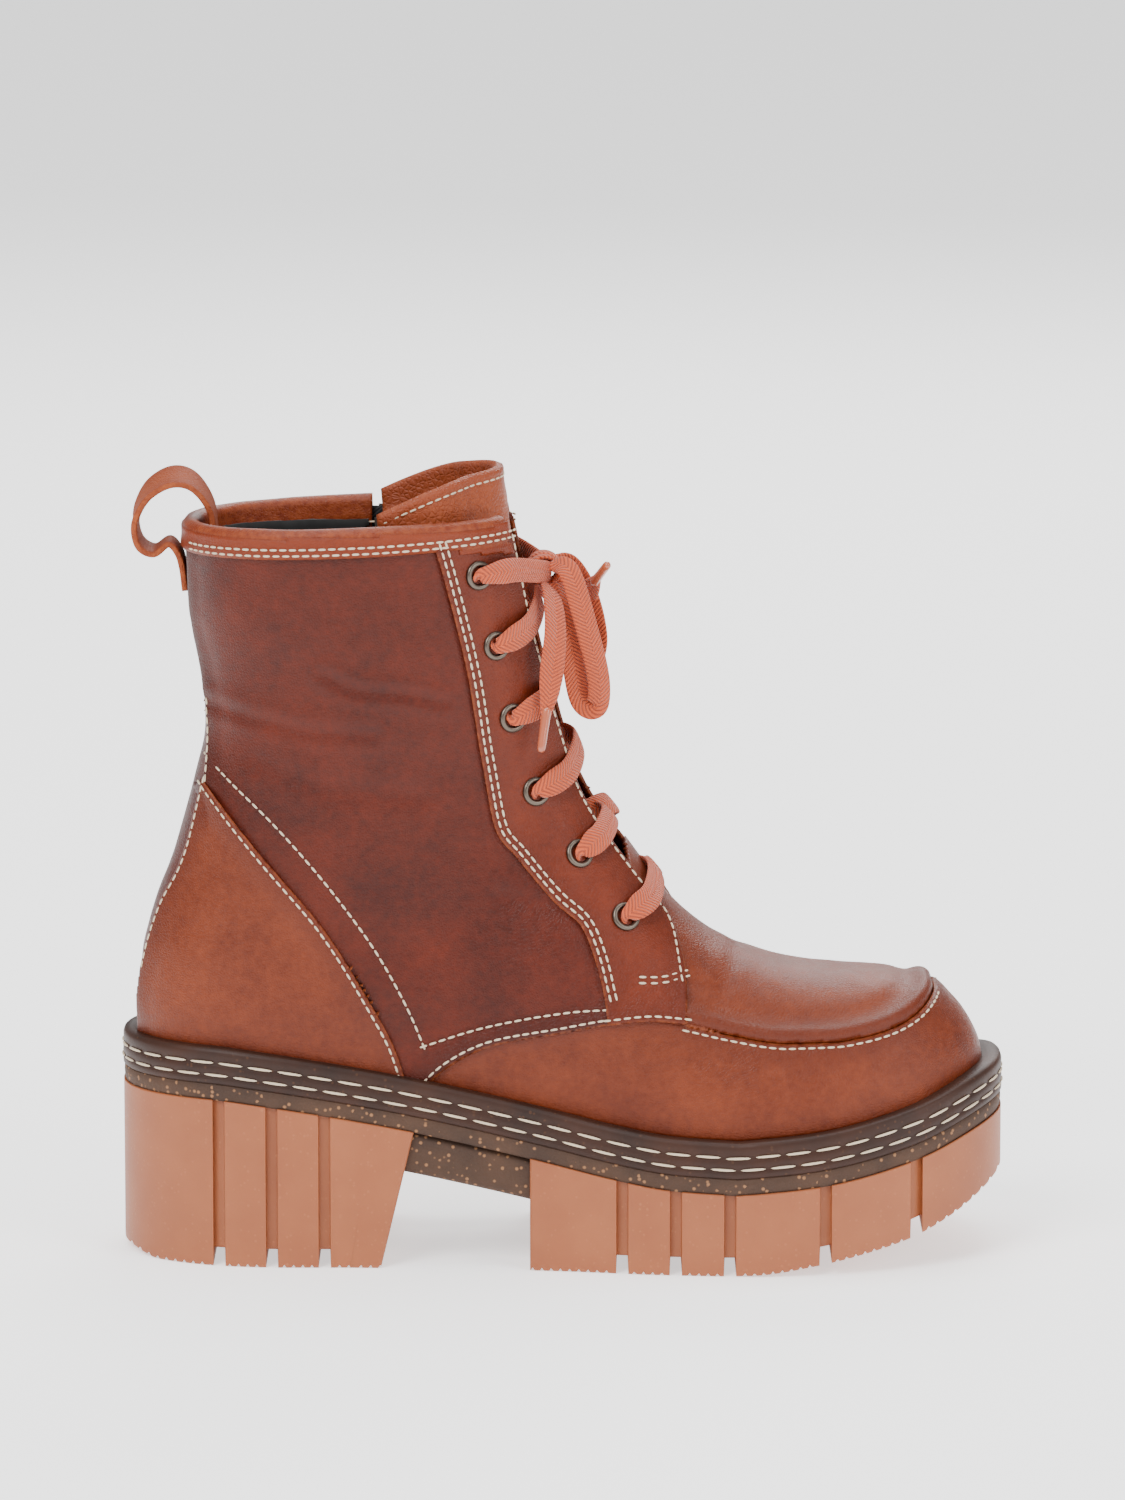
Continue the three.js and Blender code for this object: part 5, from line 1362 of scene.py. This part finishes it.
def lace_pass(start, end, index, over):
    """One pass: out of an eyelet, forward over its facing's edge, across the gap, under the other facing."""
    (x0, z0), (x1, z1) = EYELETS[index], EYELETS[index - 1]
    leave, enter = mix(z0, z1, 0.28), mix(z0, z1, 0.78)
    edge0, edge1 = EDGE_AT(leave), EDGE_AT(enter)
    p, n = on_upper((x0, z0), start)
    rows = [strand(p - n * 5, n, 4.4, 2.0), strand(p + n * 2.6, n + [0.5, 0, 0.2], 5.0, 2.0)]
    for share_x, share_z, lift in ((0.36, 0.32, 4.6), (0.84, 0.8, 4.1)):
        q, m = on_upper((mix(x0, edge0, share_x), mix(z0, leave, share_z)), start, lift)
        rows.append(strand(q, m, 8.0))
    for share, y, lift, tip in (
        (0.36, start * 8, 2.4 if over else 1.6, 0.8), (0.56, -start, 0.9 if over else -2.6, 0.0),
        (0.8, -start * 9.5, -8.0, -0.4),
    ):
        q, m = crossing(mix(leave, enter, share), y, lift)
        rows.append(strand(q, m + np.array([0, start * tip * 0.6, 0]), 8.0))
    for share_x, share_z, depth in ((0.6, 0.4, 9.6), (0.12, 0.9, 8.8)):
        q, m = on_upper((mix(x1, edge1, share_x), mix(enter, z1, share_z)), end, -depth)
        rows.append(strand(q, m, 7.0))
    return rows


KNOT = np.array([-6.5, 0.0, 217.0])
BOW = {
    "loop_lateral": [
        (2.6, -4.4, 2.6), (8, -9, 0), (13, -11.5, -16), (17, -11, -33), (16.4, -10, -42), (11.5, -10, -40),
        (8.5, -10.5, -25), (5.5, -9.5, -10), (3.6, -5.6, -4),
    ],
    "loop_medial": [
        (2.6, 4.4, 2.6), (8, 9.5, 0.5), (13.5, 14, -10), (16.5, 15, -24), (14, 14.5, -32), (10, 13, -25),
        (6.5, 10.5, -10), (4, 5, -4),
    ],
    "end_lateral": [(-0.5, -5.6, -3), (2.5, -13.5, -7), (3.5, -22, -17), (2.2, -28, -30), (0.5, -31.5, -42)],
    "end_medial": [
        (-1.5, 5.4, -1), (-2.5, 16, -5), (1.5, 23.5, -11), (9.5, 21.5, -13.5), (13.5, 12.5, -9), (16.5, 5, -4),
    ],
}


def build_lace(settings):
    """The strand through all twelve eyelets, its knot, and the bow's two loops and two ends as free cords."""
    width, thickness = settings.width * 1000, settings.thickness * 1000
    routes = []
    for start in (LATERAL, MEDIAL):
        side, rows = start, []
        for index in range(5, 0, -1):
            rows += lace_pass(side, -side, index, start == LATERAL)
            side = -side
        p, n = on_upper(EYELETS[0], side)
        rows += [strand(p - n * 5, n, 4.4, 2.0), strand(p + n * 2.8, n + [0.5, 0, 0], 5.0, 2.0)]
        for dx, dz, lift in ((5, 0.5, 4.6), (9.5, 0, 4.4)):
            q, m = on_upper((EYELETS[0][0] + dx, EYELETS[0][1] + dz), side, lift)
            rows.append(strand(q, m, 7.6))
        rows.append(strand(KNOT + [0.5, side * 6.5, 0], [1, side * 0.5, 0], 7.0, 2.0))
        rows.append(strand(KNOT + [1.0, side * 2.0, 0], [1, 0, 0], 5.0, 2.0))
        routes.append(rows)
    bar = []
    for side, forward in ((LATERAL, 0.5), (LATERAL, 6), (LATERAL, 10), (MEDIAL, 10), (MEDIAL, 6), (MEDIAL, 0.5)):
        q, m = on_upper((EYELETS[5][0] + forward, EYELETS[5][1] - forward * 0.2), side, -11.4)
        bar.append(strand(q, m, 7.0))
    route = np.array([*routes[0][::-1], *bar, *routes[1]])
    route[:, 6] *= width / 8
    verts, faces, uv, _ = ribbon(route, 2.2)
    put("lace_strand", verts, faces, replaces=["lace"], slot="lace", material=finish_of("lace"), uv=uv)
    wraps = []
    for tilt, radius, lean in ((0.25, 4.4, -1.4), (-0.35, 4.9, 1.8)):
        for angle in np.linspace(0, 2 * np.pi, 14):
            out = np.array([np.cos(angle), 0.0, np.sin(angle)])
            sideways = np.array([0, lean + tilt * 6 * np.cos(angle), 0])
            at = KNOT + out * np.array([radius, 0, radius * 0.95]) + sideways
            wraps.append(strand(at, out, 6.4, 1.8))
    verts, faces, uv, _ = ribbon(np.array(wraps), 2.5)
    put("lace_knot_wrap", verts, faces, replaces=["lace_knot"], slot="lace", material=finish_of("lace"), uv=uv)
    for name, offsets in BOW.items():
        sign = -1 if "lateral" in name else 1
        rows = []
        for k, offset in enumerate(offsets):
            share = k / (len(offsets) - 1)
            from_end = k
            facing = [1.0 - 0.7 * share, sign * 0.9, 0.4]
            if "loop" in name:
                from_end = min(k, len(offsets) - 1 - k)
                facing = [0.55, sign * 1.0, 0.25]
            rows.append(strand(KNOT + offset, facing, [5.4, 7.6, 8.0][min(from_end, 2)], thickness))
        if "end" in name:
            rows[-1][6] = 3.2
            rows[-1][7] = 2.0
        verts, faces, uv, line = ribbon(np.array(rows), 2.2)
        piece = put("bow_" + name, verts, faces, replaces=["lace_" + name], slot="lace", material=finish_of("lace"),
                    uv=uv)
        extra, far = [], "object"
        if "end" in name:
            extra, far = [aglet(name, line[-3], line[-1])], "fitting"


def aglet(name, before, tip):
    """Lace tip: a turned sleeve about 1.4 in radius and 14 long with a rounded end, on the lace's own line."""
    along = unit(tip - before)
    hint = np.array([0.3, 0.2, 1.0])
    side = unit(np.cross(along, hint))
    up = np.cross(side, along)
    profile = np.array([(1.5, -2.5), (1.65, -1.5), (1.5, 0), (1.4, 4), (1.35, 9), (1.25, 10.6), (0.8, 11.4)])
    angle = 2 * np.pi * np.arange(20) / 20
    ring = side * np.cos(angle)[:, None] + up * np.sin(angle)[:, None]
    grid = tip + profile[:, None, :1] * ring[None] + along * profile[:, None, 1:]
    verts, faces = closed_tube(grid, (tip - along * 2.5, tip + along * 11.6))
    half = name.split("_")[1]
    return put("aglet_sleeve_" + half, verts, faces, replaces=["aglet_" + half], slot="aglet",
               material=finish_of("aglet"))


# ---------------------------------------------------------------- zip and pull loop


def build_zip(settings):
    """Tapes under the quarter's edges, and two rows of coil turns down the chain, settings.tooth apart."""
    for word, start, end, edge in (("front", 0.4, 11.5, 0.4), ("rear", -11.5, -0.4, -0.4)):
        line = [(zip_x(z) + edge, z) for z in (80, 120, 160, 200, 240)]
        points, faces, _ = cut_panel(strip(start, end, 82, 232.6), [line], (MEDIAL,), rough=0.3,
                                     profile=lambda d: np.full_like(d, -1.3))
        uv = np.stack([points[:, 0] - zip_x(points[:, 2]), points[:, 2]], 1)
        piece = put("zip_tape_cloth_" + word, points, faces, replaces=["zip_tape_" + word], slot="zip_tape",
                    material=finish_of("tape"), uv=uv)
        solidify(piece, 0.7)
    (top, out_top), (bottom, out_bottom) = on_upper(ZIP_TOP, MEDIAL), on_upper(ZIP_BOTTOM, MEDIAL)
    down = unit(bottom - top)
    out = unit(out_top + out_bottom - down * np.sum((out_top + out_bottom) * down))
    ahead = np.cross(down, out)
    ahead = ahead if ahead[0] > 0 else -ahead
    run = np.arange(9.5, np.linalg.norm(bottom - top) - 3.5, settings.tooth * 1000)
    for word, sign in (("front", 1), ("rear", -1)):
        step = run + settings.tooth * 250 * sign
        centre = top + down * step[:, None] + ahead * (1.85 * sign) - out * 0.5
        along = np.broadcast_to(unit(ahead + down * 0.12 * sign), centre.shape)
        normal = np.broadcast_to(out, centre.shape)
        verts, faces = capsules(centre, along, normal, 2.7, 0.42, arch=0.2)
        put("zip_coil_" + word, verts, faces, replaces=["zip_teeth_" + word], slot="zip_tape",
            material=finish_of("teeth"))


def build_pull_loop(settings):
    """Strap bent into a loop over the collar's back: a rounded oblong section along the path, slightly twisted."""
    inner = back_x(228) + 8.2
    path = [
        (inner, 221), (inner, 229), (inner - 1.5, 237.5), (-117.5, 244.5), (-124, 245.8), (-131, 241.5),
        (-135, 233.5), (-134, 226.0), (-129.5, 223.2), (-124.8, 226), (-121.8, 223),
        (back_x(218) - 1.9, 218), (back_x(211) - 1.7, 211),
    ]
    line = spline([(x, 0, z) for x, z in path], 150)
    tangent = unit(np.gradient(line, axis=0))
    share = np.linspace(0, 1, len(line))[:, None]
    twist = 0.28 * np.sin(np.pi * np.clip(share * 1.15, 0, 1)) ** 2
    width = np.array([0, 1.0, 0]) + np.array([0.0, 0, 1.0]) * twist
    width = unit(width - tangent * np.sum(width * tangent, -1, keepdims=True))
    out = np.cross(tangent, width)
    angle = 2 * np.pi * np.arange(36) / 36
    c, s = np.cos(angle), np.sin(angle)
    u = 7.6 * np.sign(c) * np.abs(c) ** 0.2
    v = 1.05 * np.sign(s) * np.abs(s) ** 0.35
    cup = 0.5 * (np.abs(u) / 7.6) ** 2 * np.sin(np.pi * share)
    grid = line[:, None] + width[:, None] * u[None, :, None] + out[:, None] * (v[None, :] - cup)[..., None]
    verts, faces = closed_tube(grid)
    verts[:, 1] += 0.2 * hash_noise(verts, 5.0, 31)
    edge = np.concatenate([np.broadcast_to(7.6 - np.abs(u), grid.shape[:2]).ravel(), [4, 4]])
    put("pull_loop_strap", verts, faces, replaces=["pull_loop"], material=finish_of("suede"), edge=edge)


OWN_SHAPES = {
    "zip_slider": "steel", "zip_pull": "steel", "zip_top_stop_front": "steel", "zip_top_stop_rear": "steel",
    "zip_bottom_stop": "steel", "shank": "steel", "insole_board": "board", "footbed": "fleece",
    "bottom_filler": "cork",
}


def build_metal(settings):
    """Finishes for the frame's own slider, pull, stops, shank, boards and filler, which keep their shapes."""
    for name, kind in OWN_SHAPES.items():
        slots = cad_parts[name].data.materials
        slots.clear()
        slots.append(finish_of(kind))


# ---------------------------------------------------------------- stage


LIT_POINT = np.array([0, 0, 0.12])
CAMERA_TARGET = np.array([0, 0, 0.159])


def build_stage(settings):
    """Pale level floor, soft lights above and in front, and a white world."""
    across = np.linspace(-14, 14, 9)
    x, y = np.meshgrid(across, across)
    grid = np.stack([x, y, np.zeros_like(x)], -1)
    data = bpy.data.meshes.new("floor")
    data.from_pydata(grid.reshape(-1, 3), [], grid_faces(9, 9).tolist())
    data.polygons.foreach_set("use_smooth", np.full(len(data.polygons), True))
    floor = bpy.data.objects.new("floor", data)
    bpy.context.scene.collection.objects.link(floor)
    finish = {"Base_Color": (0.95, 0.95, 0.95, 1), "Roughness": 0.9, "Emission_Color": (1, 1, 1, 1)}
    data.materials.append(material("Floor", Emission_Strength=1.0, **finish)[0])
    for name, place, size, energy in (
        ("key", (-1.2, -1.9, 2.2), 1.3, 76), ("fill", (1.9, -1.6, 1.2), 1.3, 34), ("top", (0, 0.2, 2.4), 1.6, 40),
        ("back", (0.4, 2.2, 1.6), 1.4, 36),
    ):
        light = bpy.data.lights.new(name, "AREA")
        light.size = size
        light.energy = energy * settings.light
        lamp = bpy.data.objects.new(name, light)
        lamp.location = place
        lamp.rotation_euler = direction_of(LIT_POINT - np.array(place))
        bpy.context.scene.collection.objects.link(lamp)
    world = bpy.context.scene.world or bpy.data.worlds.new("World")
    bpy.context.scene.world = world
    world.use_nodes = True
    world.node_tree.nodes["Background"].inputs[0].default_value = (1, 1, 1, 1)
    world.node_tree.nodes["Background"].inputs[1].default_value = 0.5


def direction_of(aim):
    """Turn that points a light's or camera's -Z along a vector with its X level."""
    return Vector(aim).to_track_quat("-Z", "Y").to_euler()


def build_camera(settings):
    """Camera at the outer side, raised by settings.elevation, looking at the middle of the boot's height."""
    data = bpy.data.cameras.new("camera")
    data.sensor_fit = "VERTICAL"
    data.sensor_height = 36
    data.lens = 197
    camera = bpy.data.objects.new("camera", data)
    away = np.array([0, -np.cos(settings.elevation), np.sin(settings.elevation)])
    camera.location = CAMERA_TARGET + away * settings.distance
    camera.rotation_euler = direction_of(-away)
    bpy.context.scene.collection.objects.link(camera)
    bpy.context.scene.camera = camera


# ---------------------------------------------------------------- the add-on


class BootUpperSettings(bpy.types.PropertyGroup):
    """Sizes of the leather and its stitching."""

    thickness: bpy.props.FloatProperty(
        name="Leather", description="Leather thickness", default=0.0015, unit="LENGTH",
    )
    pitch: bpy.props.FloatProperty(
        name="Stitch Pitch", description="A stitch is four fifths of this", default=0.003, unit="LENGTH",
    )
    thread: bpy.props.FloatProperty(
        name="Thread", description="Thread diameter", default=0.00075, unit="LENGTH",
    )


class BootSoleSettings(bpy.types.PropertyGroup):
    """Sizes of the welt's stitching."""

    stitch: bpy.props.FloatProperty(
        name="Welt Stitch", description="Pitch of the welt rows", default=0.0094, unit="LENGTH",
    )


class BootLaceSettings(bpy.types.PropertyGroup):
    """Sizes of the flat lace."""

    width: bpy.props.FloatProperty(name="Width", description="Lace width", default=0.008, unit="LENGTH")
    thickness: bpy.props.FloatProperty(
        name="Thickness", description="Thickness of the bow's lace", default=0.0016, unit="LENGTH",
    )


class BootZipSettings(bpy.types.PropertyGroup):
    """Sizes of the zip."""

    tooth: bpy.props.FloatProperty(
        name="Coil Pitch", description="Distance between turns", default=0.0015, unit="LENGTH",
    )


class BootStageSettings(bpy.types.PropertyGroup):
    """Light and camera."""

    light: bpy.props.FloatProperty(name="Light", description="Strength of the lights", default=1.0, min=0)
    elevation: bpy.props.FloatProperty(
        name="Elevation", description="Camera height angle", default=0.1658, subtype="ANGLE",
    )
    distance: bpy.props.FloatProperty(name="Distance", description="Camera to boot", default=2.6, unit="LENGTH")


GROUPS = {
    "boot_upper": BootUpperSettings, "boot_sole": BootSoleSettings, "boot_lace": BootLaceSettings,
    "boot_zip": BootZipSettings, "boot_stage": BootStageSettings,
}


class BOOT_OT_camera(bpy.types.Operator):
    """Places the camera at the boot's outer side."""

    bl_idname = "boot.camera"
    bl_label = "Camera"

    def execute(self, context):
        build_camera(context.scene.boot_stage)
        return {"FINISHED"}


class BOOT_OT_lace(bpy.types.Operator):
    """Builds the lace, its knot, bow and tips."""

    bl_idname = "boot.lace"
    bl_label = "Lace"

    def execute(self, context):
        build_lace(context.scene.boot_lace)
        return {"FINISHED"}


class BOOT_OT_panels(bpy.types.Operator):
    """Builds the upper's leather panels."""

    bl_idname = "boot.panels"
    bl_label = "Leather Panels"

    def execute(self, context):
        build_panels(context.scene.boot_upper)
        return {"FINISHED"}


class BOOT_OT_thread(bpy.types.Operator):
    """Builds the stitching on the upper."""

    bl_idname = "boot.thread"
    bl_label = "Stitching"

    def execute(self, context):
        build_thread(context.scene.boot_upper)
        return {"FINISHED"}


class BOOT_OT_collar(bpy.types.Operator):
    """Builds the collar's rolled rim."""

    bl_idname = "boot.collar"
    bl_label = "Collar Rim"

    def execute(self, context):
        build_collar(context.scene.boot_upper)
        return {"FINISHED"}


class BOOT_OT_lining(bpy.types.Operator):
    """Builds the fleece lining."""

    bl_idname = "boot.lining"
    bl_label = "Fleece Lining"

    def execute(self, context):
        build_lining(context.scene.boot_upper)
        return {"FINISHED"}


class BOOT_OT_tongue(bpy.types.Operator):
    """Builds the tongue and its stitching."""

    bl_idname = "boot.tongue"
    bl_label = "Tongue"

    def execute(self, context):
        build_tongue(context.scene.boot_upper)
        return {"FINISHED"}


class BOOT_OT_eyelets(bpy.types.Operator):
    """Builds the twelve eyelets."""

    bl_idname = "boot.eyelets"
    bl_label = "Eyelets"

    def execute(self, context):
        build_eyelets(context.scene.boot_upper)
        return {"FINISHED"}


class BOOT_OT_sole(bpy.types.Operator):
    """Builds the welt, the midsole and the two lugged blocks."""

    bl_idname = "boot.sole"
    bl_label = "Sole"

    def execute(self, context):
        build_sole(context.scene.boot_sole)
        return {"FINISHED"}


class BOOT_OT_zip(bpy.types.Operator):
    """Builds the zip's tapes and coil."""

    bl_idname = "boot.zip"
    bl_label = "Zip"

    def execute(self, context):
        build_zip(context.scene.boot_zip)
        return {"FINISHED"}


class BOOT_OT_pull_loop(bpy.types.Operator):
    """Builds the heel pull loop."""

    bl_idname = "boot.pull_loop"
    bl_label = "Pull Loop"

    def execute(self, context):
        build_pull_loop(context.scene.boot_upper)
        return {"FINISHED"}


class BOOT_OT_metal(bpy.types.Operator):
    """Gives the frame's own small parts their finishes."""

    bl_idname = "boot.metal"
    bl_label = "Metal Parts"

    def execute(self, context):
        build_metal(context.scene.boot_upper)
        return {"FINISHED"}


class BOOT_OT_stage(bpy.types.Operator):
    """Builds the floor and the lights."""

    bl_idname = "boot.stage"
    bl_label = "Stage"

    def execute(self, context):
        build_stage(context.scene.boot_stage)
        return {"FINISHED"}


OPERATORS = (
    BOOT_OT_camera, BOOT_OT_lace, BOOT_OT_panels, BOOT_OT_thread, BOOT_OT_collar, BOOT_OT_lining, BOOT_OT_tongue,
    BOOT_OT_eyelets, BOOT_OT_sole, BOOT_OT_zip, BOOT_OT_pull_loop, BOOT_OT_metal, BOOT_OT_stage,
)


class BOOT_PT_panel(bpy.types.Panel):
    """Sidebar list of the boot's pieces."""

    bl_label = "Ankle Boot"
    bl_idname = "BOOT_PT_panel"
    bl_space_type = "VIEW_3D"
    bl_region_type = "UI"
    bl_category = "Boot"

    def draw(self, context):
        for name, kind in GROUPS.items():
            for key in kind.__annotations__:
                self.layout.prop(getattr(context.scene, name), key)
        for operator in OPERATORS:
            self.layout.operator(operator.bl_idname)


def register():
    for kind in (*GROUPS.values(), *OPERATORS, BOOT_PT_panel):
        bpy.utils.register_class(kind)
    for name, kind in GROUPS.items():
        setattr(bpy.types.Scene, name, bpy.props.PointerProperty(type=kind))


def unregister():
    for name in GROUPS:
        delattr(bpy.types.Scene, name)
    for kind in reversed((*GROUPS.values(), *OPERATORS, BOOT_PT_panel)):
        bpy.utils.unregister_class(kind)


def main():
    register()
    bpy.ops.boot.camera()
    bpy.ops.boot.lace()
    bpy.ops.boot.panels()
    bpy.ops.boot.thread()
    bpy.ops.boot.collar()
    bpy.ops.boot.lining()
    bpy.ops.boot.tongue()
    bpy.ops.boot.eyelets()
    bpy.ops.boot.sole()
    bpy.ops.boot.zip()
    bpy.ops.boot.pull_loop()
    bpy.ops.boot.metal()
    bpy.ops.boot.stage()


if __name__ == "__main__":
    main()
